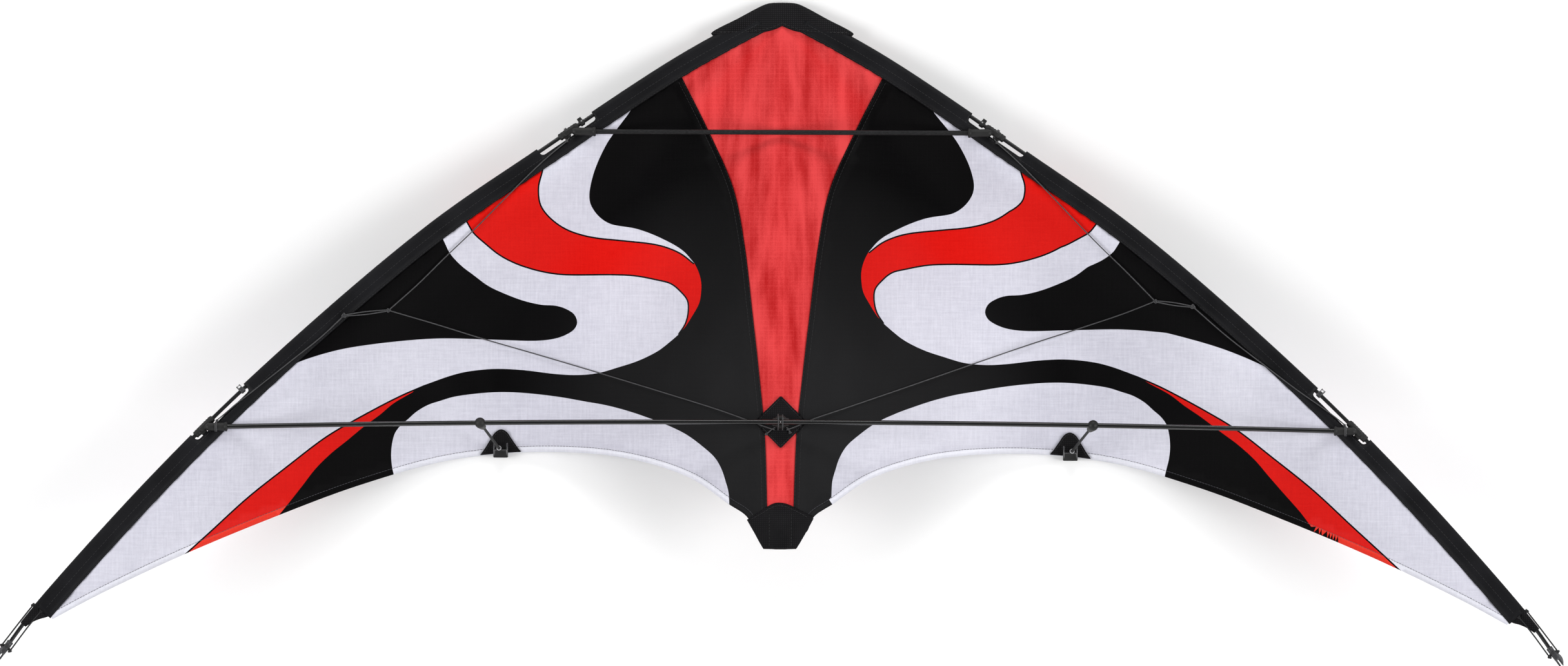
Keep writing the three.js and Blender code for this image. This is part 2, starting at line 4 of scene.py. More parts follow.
import bmesh
import bpy
import numpy as np
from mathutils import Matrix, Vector, kdtree
from mathutils.geometry import delaunay_2d_cdt


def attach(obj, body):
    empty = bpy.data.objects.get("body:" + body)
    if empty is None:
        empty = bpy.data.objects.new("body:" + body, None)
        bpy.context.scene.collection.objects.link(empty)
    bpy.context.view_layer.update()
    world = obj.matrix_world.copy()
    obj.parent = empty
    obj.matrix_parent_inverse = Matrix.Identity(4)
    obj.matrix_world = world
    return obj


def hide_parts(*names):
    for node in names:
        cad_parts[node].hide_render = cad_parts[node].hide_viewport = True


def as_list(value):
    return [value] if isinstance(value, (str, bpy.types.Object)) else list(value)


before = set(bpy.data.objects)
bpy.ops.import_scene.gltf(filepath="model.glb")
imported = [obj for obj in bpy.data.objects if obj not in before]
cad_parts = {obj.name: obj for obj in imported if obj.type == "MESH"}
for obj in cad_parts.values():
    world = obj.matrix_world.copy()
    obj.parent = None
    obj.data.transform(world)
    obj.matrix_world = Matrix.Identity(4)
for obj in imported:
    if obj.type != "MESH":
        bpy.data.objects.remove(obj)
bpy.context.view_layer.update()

MM = 0.001
BODY = "kite"
SIDES = {"left": -1, "right": 1}

# ---- Sizes shared with the CAD, in millimetres ----
NOSE_ROD = (12, 332.5)
NOSE_ROD_HEIGHT = 11.3
PITCH = 0.218
LEADING_EDGE = [NOSE_ROD, (107, 279.5), (253, 181.5), (360.5, 106), (518, -30), (637, -147.5),
                (765, -291.5), (790, -325.8)]
SLEEVE_WIDTH = 18
SLEEVE_START = 12
SLEEVE_END_X = 758
UPPER_OPENING_X = (193, 249)
LOWER_OPENING_X = (546.5, 600)
OPENING_DEPTH = 6
SAG_DEPTH, SAG_Y, SAG_GROWTH, SAG_ROUNDING = 106.4, -126, 1.15, 1.5
CENTRE_SEAM = [(101.6, 259.5), (76, 208.7), (49.5, 148), (38, 92), (29.3, 20), (22, -43.9), (16, -107.8),
               (12.9, -204)]
TRAILING_EDGE = [(12, -206), (26, -204), (34, -188), (53, -175), (92, -149), (158, -129), (244, -123),
                 (337, -131.5), (429, -157), (518, -190.5), (614, -231), (699, -272), (747, -298)]
EDGE_JOINT_X = 400
SPINE_DROP = 6
UPPER_SPREADER_Y, UPPER_SPREADER_HALF = 205.5, 205
LOWER_SPREADER_Y, LOWER_SPREADER_HALF = (-91, -98.2), 578
ARM_RISE, LOWER_BOW = 6, 14
SPREADER_RADIUS, EDGE_ROD_RADIUS, SPINE_RADIUS, STANDOFF_ROD_RADIUS = 2.5, 2, 2.5, 1.4
RUNNING_GAP, BORE_GAP = 0.3, 0.08
CLOTH, SLEEVE_CLOTH = 0.3, 0.45
UPPER_FITTING_X, UPPER_ARM_MOUTH, UPPER_STOPPER_X = (209, 228), 190.5, 205
LOWER_FITTING_X, LOWER_ARM_MOUTH, LOWER_STOPPER_X = (580, 598), 565, 550.6
FITTING_RADIUS, STOPPER_LENGTH, STOPPER_RADIUS, NOCK_COVER = 3.9, 5, 3.4, 10
BALL_RADIUS, NECK_LENGTH = 5.5, 17
FOOT_WIDTH, FOOT_TOP = 15, 13
STANDOFFS = {"left": (307, 287), "right": (319, 297)}
LINE_RADIUS, LINE_LIFT, KNOT_LIFT = 0.6, 2.4, 3.6
BRIDLES = {
    "left": {
        "inner_knot": (401.5, 21.5, KNOT_LIFT), "outer_knot": (447, 16, KNOT_LIFT),
        "upper_leg": [(221, 195, 3.4), (240, 179, 3), (262, 158), (316, 103), (345, 75), (371, 49)],
        "inner_leg": [(6, -99, 4), (13, -97, 3.8), (28, -91.5, 3.6), (60, -80), (120, -61.5), (187, -41.5), (250, -23),
                      (306, -7), (355, 8)],
        "outer_leg": [(576, -91.5, 4), (568, -85, 3.4), (558, -76, 3), (540, -62), (502.5, -32), (469, -5)],
    },
    "right": {
        "inner_knot": (382.5, 34, KNOT_LIFT), "outer_knot": (421, 28.5, KNOT_LIFT),
        "upper_leg": [(221, 195, 3.4), (240, 178, 3), (264, 154), (324.5, 91.5), (350, 67)],
        "inner_leg": [(6, -99, 4), (13, -97, 3.8), (30, -89, 3.6), (62, -78), (120, -58), (180, -37), (250, -12.5),
                      (309, 7), (350, 21)],
        "outer_leg": [(576, -91.5, 4), (568, -85, 3.4), (556, -76, 3), (530, -58), (494, -31), (455, -1)],
    },
}

# ---- Printed fields of the wing, in millimetres from the centre line ----
UPPER_FIELD_INNER = [(148, 238), (158, 223), (170, 207), (180, 192), (192, 165), (197, 142), (196, 132), (191, 123),
                     (184, 116), (175, 111), (148, 106), (124, 97), (101, 84), (89, 71)]
BAND_TOP = [(243, 184), (244, 166), (248, 150), (248, 139), (246, 130), (240, 121), (230, 112), (218, 105), (203, 100),
            (187, 97), (166, 95), (130, 91), (115, 87), (102, 81), (89, 71)]
BAND_BOTTOM = [(327, 122), (320, 109), (315, 101), (304, 91), (289, 79), (274, 71), (257, 65), (240, 61), (223, 59),
               (171, 59), (150, 58), (128, 54), (113, 50), (103, 42), (96, 33), (95, 22), (98, 9), (105, -2)]
BAND_END = [(89, 71), (85, 63), (82, 52), (82, 41), (84, 30), (91, 17), (98, 6), (105, -2)]
FIELD_BOTTOM = [(105, -2), (113, -9), (126, -19), (146, -29), (167, -36), (188, -42), (210, -44), (231, -43),
                (266, -39), (294, -38), (322, -41), (338, -45), (366, -55)]
FLAME_OUTER = [(366, -55), (391, -66), (436, -90), (466, -108), (505, -138), (545, -170), (584, -206), (619, -238),
               (634, -252)]
FLAME_INNER = [(377, -62), (397, -74), (410, -85), (426, -97), (444, -112), (460, -125), (476, -141), (489, -158),
               (503, -176), (518, -195), (528, -210)]
TONGUE = [(352, 106), (345, 92), (339, 80), (328, 68), (315, 58), (300, 47), (283, 39), (264, 32), (246, 28),
          (231, 27), (221, 24), (212, 18), (209, 10), (212, 3), (221, -3), (233, -7), (251, -9), (296, -8), (349, -7),
          (391, -10), (442, -17), (467, -23), (491, -31), (505, -37)]
SCALLOP = [(392, -166), (395, -152), (398, -139), (399, -127), (398, -115), (395, -104), (389, -96), (382, -90),
           (373, -82), (361, -75), (349, -71), (336, -67), (317, -64), (294, -62), (273, -62), (248, -64), (224, -67),
           (201, -71), (178, -75), (155, -81), (134, -88), (118, -94), (97, -104), (79, -117), (67, -128), (60, -140),
           (56, -152), (53, -163), (52, -180)]
OUTLINE_HALF = 0.8
PRINT_RISE = {"left": 0, "right": 12}
FLAME_SHIFT = {"left": (0, 0), "right": (15, 2)}
HEM = 6.6
SEAM_STRIP = 6.2


# ---- Curves and surfaces ----
def spline(points, step=4.0):
    """A centripetal Catmull-Rom curve through points, with a point about every step."""
    p = [np.array(q, float) for q in points]
    p = [2 * p[0] - p[1], *p, 2 * p[-1] - p[-2]]
    made = []
    for a, b, c, d in zip(p, p[1:], p[2:], p[3:]):
        t0, t1, t2 = (math.sqrt(max(1e-6, float(np.linalg.norm(v)))) for v in (b - a, c - b, d - c))
        out = ((b - a) / t0 - (c - a) / (t0 + t1) + (c - b) / t1) * t1
        into = ((c - b) / t1 - (d - b) / (t1 + t2) + (d - c) / t2) * t1
        count = max(1, round(float(np.linalg.norm(c - b)) / step))
        for i in range(count):
            s = i / count
            made.append((2 * s**3 - 3 * s**2 + 1) * b + (s**3 - 2 * s**2 + s) * out
                        + (3 * s**2 - 2 * s**3) * c + (s**3 - s**2) * into)
    made.append(p[-2])
    return np.array(made)


class Route:
    """A line of points, read by the distance along it."""

    def __init__(self, points):
        self.points = np.array(points, float)
        steps = np.linalg.norm(np.diff(self.points, axis=0), axis=1)
        self.marks = np.concatenate([[0], np.cumsum(steps)])
        self.length = float(self.marks[-1])

    def at(self, along):
        return np.array([np.interp(along, self.marks, self.points[:, k]) for k in range(self.points.shape[1])])

    def tangent(self, along, reach=3.0):
        low, high = max(0.0, along - reach), min(self.length, along + reach)
        step = self.at(high) - self.at(low)
        return step / np.linalg.norm(step)


def frame_z(y):
    return NOSE_ROD_HEIGHT + PITCH * (NOSE_ROD[1] - y)


FRONT = np.array([0, PITCH, 1]) / math.hypot(PITCH, 1)
edge = Route(spline([(x, y, frame_z(y)) for x, y in LEADING_EDGE], 2.0))


def beside_edge(along, outward, front):
    """A point beside the leading-edge rod. Past the rod's ends it goes straight on."""
    inside = min(max(along, 0.0), edge.length)
    tangent = edge.tangent(inside)
    outwards = np.cross(FRONT, tangent)
    return edge.at(inside) + tangent * (along - inside) + outwards * outward + FRONT * front


def along_at_x(x):
    return float(np.interp(x, edge.points[:, 0], edge.marks))


inner_edge = np.array([beside_edge(a, -SLEEVE_WIDTH, 0) for a in np.linspace(0, edge.length, 240)])


def inner_edge_x(y):
    return np.interp(-np.asarray(y, float), -inner_edge[:, 1], inner_edge[:, 0])


trailing = spline(TRAILING_EDGE, 3.0)
seam = spline(CENTRE_SEAM, 3.0)


def trailing_y(x):
    return np.interp(x, trailing[:, 0], trailing[:, 1])


def sail_z(x, y):
    x, y = np.abs(np.asarray(x, float)), np.asarray(y, float)
    across = np.clip(x / inner_edge_x(y), 0, 1)
    down = np.maximum(0, NOSE_ROD[1] - y) / (NOSE_ROD[1] - SAG_Y)
    return frame_z(y) - SAG_DEPTH * down**SAG_GROWTH * np.sin(math.pi * across) ** SAG_ROUNDING


def creases(x, y, side):
    """Slight creases of cloth that hangs between the rods, in millimetres."""
    x, y = np.abs(np.asarray(x, float)), np.asarray(y, float)
    foot = STANDOFFS[side][1]
    dx, dy = x - foot, y - trailing_y(foot)
    reach, turn = np.hypot(dx, dy), np.arctan2(dy, dx)
    star = 0.9 * np.sin(11 * turn + 0.6) * np.exp(-reach / 90) * np.minimum(1, reach / 25)
    along, across = x * 0.78 - y * 0.62, x * 0.62 + y * 0.78
    ripple = 0.35 * np.sin(across / 17 + 1.3 * np.sin(along / 90))
    ripple += 0.22 * np.sin(across / 7.3 + 2 * np.sin(along / 70))
    edge_wave = 0.8 * np.sin(x / 13 + 0.7 * np.sin(x / 41)) * np.exp(-np.maximum(0, y - trailing_y(x)) / 22)
    return (star + ripple + 0.5 * edge_wave) * np.clip(x / 60, 0, 1)


def turns(count):
    """Angles set evenly round a full turn."""
    return np.linspace(0, 2 * math.pi, count, endpoint=False)


# ---- Flat pieces cut along lines ----
def inside(polygon, points):
    """Which points lie inside a closed polygon."""
    a = np.asarray(polygon, float)
    b = np.roll(a, -1, axis=0)
    px, py = points[:, 0][:, None], points[:, 1][:, None]
    crosses = (a[:, 1] > py) != (b[:, 1] > py)
    rise = np.where(b[:, 1] == a[:, 1], 1e-12, b[:, 1] - a[:, 1])
    at = (b[:, 0] - a[:, 0]) * (py - a[:, 1]) / rise + a[:, 0]
    return (crosses & (px < at)).sum(axis=1) % 2 == 1


def patchwork(outline, lines, spacing, holes=()):
    """Points and triangles that fill an outline, with edges along every line and round every hole."""
    loops = [np.asarray(loop, float) for loop in (outline, *holes)]
    points, edges = [], []
    for number, line in enumerate([*loops, *lines]):
        first = len(points)
        points.extend(np.asarray(line, float).tolist())
        edges.extend((first + i, first + i + 1) for i in range(len(line) - 1))
        if number < len(loops):
            edges.append((first + len(line) - 1, first))
    tree = kdtree.KDTree(len(points))
    for i, (x, y) in enumerate(points):
        tree.insert((x, y, 0), i)
    tree.balance()
    low, high = loops[0].min(axis=0), loops[0].max(axis=0)
    grid = np.array([(x, y) for row, y in enumerate(np.arange(low[1], high[1], spacing * 0.87))
                     for x in np.arange(low[0] + (row % 2) * spacing / 2, high[0], spacing)])
    grid = grid[inside(loops[0], grid)]
    grid = [g for g in grid.tolist() if tree.find((g[0], g[1], 0))[2] > 0.45 * spacing]
    made = delaunay_2d_cdt([Vector(p) for p in points + grid], edges, [], 0, 1e-4, False)
    flat = np.array([(v.x, v.y) for v in made[0]])
    triangles = np.array(list(made[2]))
    centres = flat[triangles].mean(axis=1)
    keep = inside(loops[0], centres)
    for hole in loops[1:]:
        keep &= ~inside(hole, centres)
    return flat, triangles[keep]


def offset_line(line, distance):
    """A line moved sideways, to its left for a positive distance."""
    line = np.asarray(line, float)
    step = np.gradient(line, axis=0)
    step /= np.maximum(1e-9, np.linalg.norm(step, axis=1))[:, None]
    return line + np.stack([-step[:, 1], step[:, 0]], axis=1) * distance


# ---- Pieces ----
def added(name, data):
    """A new object in the scene."""
    made = bpy.data.objects.new(name, data)
    bpy.context.scene.collection.objects.link(made)
    return made


def mirrored(points, side):
    points = np.asarray(points, float).copy()
    points[..., 0] *= SIDES[side]
    return points


def place_side(shape, side):
    """A shape on its side of the kite. Faces turn round where mirroring would turn them inside out."""
    verts, faces = shape
    return mirrored(verts, side), [tuple(reversed(f)) for f in faces] if side == "left" else faces


def piece(name, shape, materials, side=None, body=BODY, replaces=(), painted=None):
    """A mesh object from (vertices, faces) in millimetres, which rides on a body."""
    points, faces = place_side(shape, side) if side else shape
    mesh = bpy.data.meshes.new(name)
    mesh.from_pydata((np.asarray(points, float) * MM).tolist(), [], [tuple(int(i) for i in f) for f in faces])
    for material in materials if isinstance(materials, list) else [materials]:
        mesh.materials.append(material)
    if painted is not None:
        mesh.polygons.foreach_set("material_index", np.asarray(painted, np.int32))
    mesh.polygons.foreach_set("use_smooth", [True] * len(mesh.polygons))
    mesh.validate()
    tidy = bmesh.new()
    tidy.from_mesh(mesh)
    bmesh.ops.delete(tidy, geom=[v for v in tidy.verts if not v.link_faces], context="VERTS")
    tidy.to_mesh(mesh)
    tidy.free()
    made = added(name, mesh)
    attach(made, body)
    if replaces:
        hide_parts(*replaces)
    return made


def thicken(made, thickness, offset=0.0):
    solid = made.modifiers.new("thickness", "SOLIDIFY")
    solid.thickness = thickness * MM
    solid.offset = offset
    return made


def across_of(tangent):
    """Two directions across a tangent."""
    first = np.cross(tangent, (0, 0, 1) if abs(tangent[2]) < 0.9 else (1, 0, 0))
    first /= np.linalg.norm(first)
    return first, np.cross(tangent, first)


def tube(points, radii, sides, closed=False):
    """Vertices and faces of a tube along points, with a radius for each."""
    points = np.asarray(points, float)
    radii = np.broadcast_to(np.asarray(radii, float), (len(points),))
    tangents = np.gradient(points, axis=0) if not closed else np.roll(points, -1, 0) - np.roll(points, 1, 0)
    tangents /= np.linalg.norm(tangents, axis=1)[:, None]
    side, _ = across_of(tangents[0])
    rings = []
    for centre, tangent, radius in zip(points, tangents, radii):
        side = side - tangent * side.dot(tangent)
        side /= np.linalg.norm(side)
        up = np.cross(tangent, side)
        rings.append(centre + radius * (np.cos(turns(sides))[:, None] * side + np.sin(turns(sides))[:, None] * up))
    verts = np.concatenate(rings)
    count = len(points)
    faces = []
    for i in range(count if closed else count - 1):
        a, b = i * sides, ((i + 1) % count) * sides
        faces += [(a + k, a + (k + 1) % sides, b + (k + 1) % sides, b + k) for k in range(sides)]
    if not closed:
        faces += [tuple(reversed(range(sides))), tuple(range((count - 1) * sides, count * sides))]
    return verts, faces


def merged(*shapes):
    """Several (vertices, faces) as one."""
    verts, faces, first = [], [], 0
    for points, polygons in shapes:
        verts.append(np.asarray(points, float))
        faces += [tuple(i + first for i in f) for f in polygons]
        first += len(points)
    return np.concatenate(verts), faces


def lathe(profile, origin, axis, sides):
    """A solid turned about an axis from (distance along it, radius) pairs."""
    axis = np.asarray(axis, float) / np.linalg.norm(axis)
    first, second = across_of(axis)
    round_it = np.cos(turns(sides))[:, None] * first + np.sin(turns(sides))[:, None] * second
    verts = np.concatenate([np.asarray(origin, float) + axis * s + round_it * max(r, 1e-3) for s, r in profile])
    faces = []
    for i in range(len(profile) - 1):
        a, b = i * sides, (i + 1) * sides
        faces += [(a + k, b + k, b + (k + 1) % sides, a + (k + 1) % sides) for k in range(sides)]
    faces += [tuple(range(sides)), tuple(reversed(range((len(profile) - 1) * sides, len(profile) * sides)))]
    return verts, [tuple(reversed(f)) for f in faces]


def block(centre, size, axes, bevel, segments=3):
    """A box with rounded edges, as (vertices, faces)."""
    made = bmesh.new()
    bmesh.ops.create_cube(made, size=1)
    bmesh.ops.scale(made, vec=size, verts=made.verts)
    bmesh.ops.bevel(made, geom=list(made.edges), offset=bevel, segments=segments, affect="EDGES", profile=0.5)
    turn = np.eye(3) if axes is None else np.array(axes, float).T
    verts = np.array([turn @ np.array(v.co) for v in made.verts]) + np.asarray(centre, float)
    made.verts.index_update()
    faces = [tuple(v.index for v in f.verts) for f in made.faces]
    made.free()
    return verts, faces


def applied(made):
    """The piece with its modifiers made part of its mesh."""
    bpy.context.view_layer.update()
    graph = bpy.context.evaluated_depsgraph_get()
    mesh = bpy.data.meshes.new_from_object(made.evaluated_get(graph))
    made.modifiers.clear()
    made.data = mesh
    mesh.polygons.foreach_set("use_smooth", [True] * len(mesh.polygons))
    return made


def moulded(made, voxel, smoothing):
    """Melts a piece's overlapping shapes into one moulded body with soft inner corners."""
    remesh = made.modifiers.new("melt", "REMESH")
    remesh.mode = "VOXEL"
    remesh.voxel_size = voxel * MM
    soften = made.modifiers.new("soften", "SMOOTH")
    soften.iterations = smoothing
    soften.factor = 0.5
    return applied(made)


def drilled(made, tool):
    """Cuts (vertices, faces) out of a piece."""
    mesh = bpy.data.meshes.new("tool")
    mesh.from_pydata((np.asarray(tool[0]) * MM).tolist(), [], tool[1])
    cutter = added("tool", mesh)
    cut = made.modifiers.new("bore", "BOOLEAN")
    cut.operation = "DIFFERENCE"
    cut.solver = "EXACT"
    cut.object = cutter
    applied(made)
    bpy.data.objects.remove(cutter)
    return made


# ---- Materials ----
class Shader:
    """A small helper around a material's node tree."""

    def __init__(self, name, roughness, specular):
        self.material = bpy.data.materials.new(name)
        self.material.use_nodes = True
        self.tree = self.material.node_tree
        self.shader = self.tree.nodes["Principled BSDF"]
        self.set("Roughness", roughness)
        self.set("Specular IOR Level", specular)
        self.place = self.node("ShaderNodeTexCoord").outputs["Object"]

    def set(self, socket, value):
        self.shader.inputs[socket].default_value = value

    def node(self, kind, **settings):
        made = self.tree.nodes.new(kind)
        for key, value in settings.items():
            if key in made.inputs:
                made.inputs[key].default_value = value
            else:
                setattr(made, key, value)
        return made

    def link(self, a, b):
        self.tree.links.new(a, b)

    def stretched(self, scale, turn=(0, 0, 0)):
        mapping = self.node("ShaderNodeMapping", Scale=scale, Rotation=turn)
        self.link(self.place, mapping.inputs["Vector"])
        return mapping.outputs["Vector"]

    def noise(self, scale, detail, stretch=(1, 1, 1), rough=0.5):
        made = self.node("ShaderNodeTexNoise", Scale=scale, Detail=detail, Roughness=rough)
        self.link(self.stretched(stretch), made.inputs["Vector"])
        return made.outputs["Fac"]

    def wave(self, scale, direction, distortion, turn=(0, 0, 0)):
        made = self.node("ShaderNodeTexWave", bands_direction=direction, wave_profile="SIN", Scale=scale,
                         Distortion=distortion, Detail=1.0)
        self.link(self.stretched((1, 1, 1), turn), made.inputs["Vector"])
        return made.outputs["Fac"]

    def maths(self, operation, a, b, clamp=False):
        made = self.node("ShaderNodeMath", operation=operation, use_clamp=clamp)
        for socket, value in zip(made.inputs, (a, b)):
            if isinstance(value, (int, float)):
                socket.default_value = value
            else:
                self.link(value, socket)
        return made.outputs[0]

    def add(self, a, b):
        return self.maths("ADD", a, b)

    def times(self, a, b, clamp=False):
        return self.maths("MULTIPLY", a, b, clamp)

    def ramp(self, factor, *stops):
        made = self.node("ShaderNodeValToRGB")
        for element, (position, colour) in zip(made.color_ramp.elements, stops):
            element.position, element.color = position, (*colour, 1)
        self.link(factor, made.inputs["Fac"])
        return made.outputs["Color"]

    def mix(self, factor, a, colour):
        made = self.node("ShaderNodeMix", data_type="RGBA", blend_type="MIX")
        self.link(factor, made.inputs[0])
        self.link(a, made.inputs[6])
        made.inputs[7].default_value = (*colour, 1)
        return made.outputs[2]

    def colour(self, value):
        self.link(value, self.shader.inputs["Base Color"])

    def roughness(self, factor, low, high):
        made = self.node("ShaderNodeMapRange", **{"To Min": low, "To Max": high})
        self.link(factor, made.inputs["Value"])
        self.link(made.outputs[0], self.shader.inputs["Roughness"])

    def bump(self, height, distance, strength):
        made = self.node("ShaderNodeBump", Strength=strength, Distance=distance)
        self.link(height, made.inputs["Height"])
        self.link(made.outputs["Normal"], self.shader.inputs["Normal"])


def ripstop(name, deep, pale, roughness, specular, streaks, grain, sheen=0.0, cloud=(7, 0.55), span=(0.2, 0.8),
            painted_sheen_middle=None):
    """Thin sailcloth: a fine weave, thicker threads every few millimetres, and soft colour streaks that are partly
    random tone and partly painted sheen; it can also paint a sheen that pales the cloth round one place.
    """
    made = Shader(name, roughness, specular)
    weave = made.times(made.add(made.wave(520, "X", 0.6), made.wave(500, "Y", 0.6)), 0.5)
    grid = made.maths("MAXIMUM", *(made.maths("POWER", made.wave(62, axis, 0.15), 14.0) for axis in "XY"))
    slubs = made.noise(60, 4.0, (1, 9, 1))
    cross_slubs = made.noise(60, 4.0, (9, 1, 1))
    # Broad streaks of paler colour: random tone, and in the white and centre red cloth also painted sheen highlights
    # from its folds.
    cloud = made.noise(cloud[0], 3.0, (1.0, cloud[1], 1))
    mottle = made.noise(900, 2.0)
    level = made.add(made.times(cloud, streaks), made.times(made.add(slubs, cross_slubs), 0.5 * (1 - streaks)))
    for detail in (weave, mottle):
        level = made.add(level, made.times(made.maths("SUBTRACT", detail, 0.5), grain))
    level = made.add(level, made.times(grid, 0.05))
    dyed = made.ramp(level, (span[0], deep), (span[1], pale))
    # Painted sheen: the base colour pales in a soft, mottled ball round one place (the sail's lower middle for the
    # black print), standing for light that the tilted cloth there reflects.
    if painted_sheen_middle:
        colour, centre, reach = painted_sheen_middle
        around = made.node("ShaderNodeMapping", vector_type="POINT", Location=tuple(-c / reach for c in centre),
                           Scale=(1 / reach,) * 3)
        made.link(made.place, around.inputs["Vector"])
        ball = made.node("ShaderNodeTexGradient", gradient_type="SPHERICAL")
        made.link(around.outputs["Vector"], ball.inputs["Vector"])
        painted_sheen_share = made.times(ball.outputs["Fac"], made.add(cloud, 0.4), True)
        dyed = made.mix(painted_sheen_share, dyed, colour)
    made.colour(dyed)
    made.roughness(slubs, roughness - 0.06, roughness + 0.1)
    height = made.add(made.times(weave, 0.5), made.times(grid, 0.6))
    made.bump(made.add(height, made.times(slubs, 0.5)), 0.00006, 0.7)
    made.set("Sheen Weight", sheen)
    made.set("Sheen Roughness", 0.4)
    return made.material


def webbing(name, dots):
    """Coarse black webbing whose crossing threads catch the light as small dots."""
    made = Shader(name, 0.62, 0.08)
    cells = made.times(made.wave(150, "X", 0.4), made.wave(150, "Y", 0.4))
    worn = made.noise(35, 4.0)
    level = made.add(made.times(made.maths("POWER", cells, 2.0), dots), made.times(worn, 0.25))
    made.colour(made.ramp(level, (0.05, (0.0015, 0.0014, 0.0018)), (0.5, (0.019, 0.018, 0.020))))
    made.roughness(worn, 0.5, 0.75)
    made.bump(cells, 0.00025, 0.9)
    return made.material


def sleeve_cloth(name):
    """Heavier black polyester with a satin face."""
    made = Shader(name, 0.42, 0.12)
    weave = made.times(made.add(made.wave(330, "X", 0.5), made.wave(330, "Y", 0.5)), 0.5)
    worn = made.noise(22, 5.0)
    level = made.add(made.times(weave, 0.25), made.times(worn, 0.75))
    made.colour(made.ramp(level, (0.25, (0.0025, 0.0025, 0.003)), (0.8, (0.010, 0.010, 0.012))))
    made.roughness(worn, 0.36, 0.55)
    made.bump(made.add(weave, made.times(made.noise(80, 3.0), 0.8)), 0.00012, 0.7)
    made.set("Sheen Weight", 0.03)
    made.set("Sheen Roughness", 0.35)
    return made.material


def rod_finish(name, deep, pale, roughness, specular, speckle, coat=0.0):
    """A pultruded rod: fine lengthwise fibres, faint speckle and scuffs."""
    made = Shader(name, roughness, specular)
    made.set("Coat Weight", coat)
    made.set("Coat Roughness", 0.12)
    grain = made.noise(speckle, 4.0, (0.25, 1, 1), 0.65)
    scuffs = made.noise(90, 5.0, (0.3, 1, 1))
    made.colour(made.ramp(grain, (0.35, deep), (0.75, pale)))
    made.roughness(scuffs, roughness - 0.08, roughness + 0.12)
    made.bump(made.add(grain, scuffs), 0.00004, 0.6)
    return made.material


def moulded_rubber(name, level):
    made = Shader(name, 0.55, 0.3)
    grain = made.noise(1400, 3.0)
    worn = made.noise(120, 4.0)
    made.colour(made.ramp(worn, (0.3, (level * 0.6,) * 3), (0.75, (level * 2.2,) * 3)))
    made.roughness(worn, 0.42, 0.7)
    made.bump(made.add(made.times(grain, 0.6), worn), 0.0001, 0.8)
    return made.material


def smoky_plastic(name, colour, transmission):
    made = Shader(name, 0.22, 0.5)
    made.set("Transmission Weight", transmission)
    made.set("IOR", 1.49)
    flow = made.noise(160, 3.0)
    made.colour(made.ramp(flow, (0.25, tuple(c * 0.75 for c in colour)), (0.8, colour)))
    made.roughness(flow, 0.15, 0.34)
    made.bump(flow, 0.00008, 0.5)
    return made.material


def braid(name, deep, pale):
    """Thin braided line: strands that cross at a slant."""
    made = Shader(name, 0.5, 0.5)
    plait = made.times(made.wave(700, "DIAGONAL", 0.2), made.wave(700, "DIAGONAL", 0.2, (0, 0, math.pi / 2)))
    fuzz = made.noise(500, 3.0)
    made.colour(made.ramp(made.add(made.times(plait, 0.6), made.times(fuzz, 0.4)), (0.1, deep), (0.7, pale)))
    made.roughness(fuzz, 0.4, 0.65)
    made.bump(plait, 0.0002, 0.9)
    return made.material


# The white cloth's broad pale patches are partly random tone and partly painted sheen.
WHITE = ripstop("white_ripstop", (0.40, 0.395, 0.47), (0.70, 0.695, 0.775), 0.42, 0.45, 0.45, 0.16, 0.1)
WHITE_HEM = ripstop("white_ripstop_hem", (0.54, 0.54, 0.61), (0.80, 0.80, 0.87), 0.42, 0.45, 0.45, 0.16, 0.1)
RED = ripstop("printed_red", (0.50, 0.0015, 0.0008), (0.70, 0.009, 0.005), 0.42, 0.08, 0.6, 0.3)
RED_HEM = ripstop("printed_red_hem", (0.64, 0.012, 0.005), (0.84, 0.045, 0.022), 0.42, 0.15, 0.6, 0.3)
# Black print; the paler ball round the sail's lower middle is a painted sheen, not a change in the cloth.
BLACK = ripstop("printed_black", (0.0004, 0.0003, 0.0004), (0.0030, 0.0028, 0.0031), 0.5, 0.04, 0.75, 0.2,
                painted_sheen_middle=((0.020, 0.020, 0.021), (0, -0.12, 0.05), 0.30))
# Long pale streaks down the centre panel: painted sheen highlights of its lengthwise creases, with some random tone.
CENTRE_RED = ripstop("centre_red", (0.40, 0.001, 0.002), (0.70, 0.050, 0.052), 0.45, 0.2, 0.9, 0.2, 0.0, (55, 0.07),
                     (0.33, 0.64))
SLEEVE = sleeve_cloth("sleeve_polyester")
WEBBING = webbing("patch_webbing", 0.3)
NOSE_WEBBING = webbing("nose_webbing", 0.75)
GLOSS_ROD = rod_finish("gloss_rod", (0.002, 0.002, 0.0022), (0.007, 0.007, 0.0075), 0.22, 0.4, 500, 0.2)
MATTE_ROD = rod_finish("matte_rod", (0.002, 0.002, 0.0024), (0.022, 0.022, 0.023), 0.6, 0.2, 1500)
RUBBER = moulded_rubber("moulded_rubber", 0.007)
SOFT_RUBBER = moulded_rubber("ball_rubber", 0.009)
CLEAR = smoky_plastic("smoky_plastic", (0.05, 0.05, 0.054), 0.2)
CLEAR_GREY = smoky_plastic("grey_plastic", (0.16, 0.16, 0.17), 0.25)
CLEAR_PALE = smoky_plastic("pale_plastic", (0.72, 0.72, 0.74), 0.55)
LINE = braid("bridle_line", (0.008, 0.008, 0.009), (0.10, 0.10, 0.105))
BUNGEE = braid("bungee_line", (0.003, 0.003, 0.0035), (0.022, 0.022, 0.024))
THREAD = braid("sewing_thread", (0.015, 0.015, 0.02), (0.10, 0.10, 0.12))
DARK_THREAD = braid("dark_thread", (0.003, 0.003, 0.004), (0.02, 0.02, 0.022))
BARE_METAL = rod_finish("ferrule_metal", (0.45, 0.45, 0.46), (0.62, 0.62, 0.63), 0.35, 0.5, 900)
BARE_METAL.node_tree.nodes["Principled BSDF"].inputs["Metallic"].default_value = 1.0

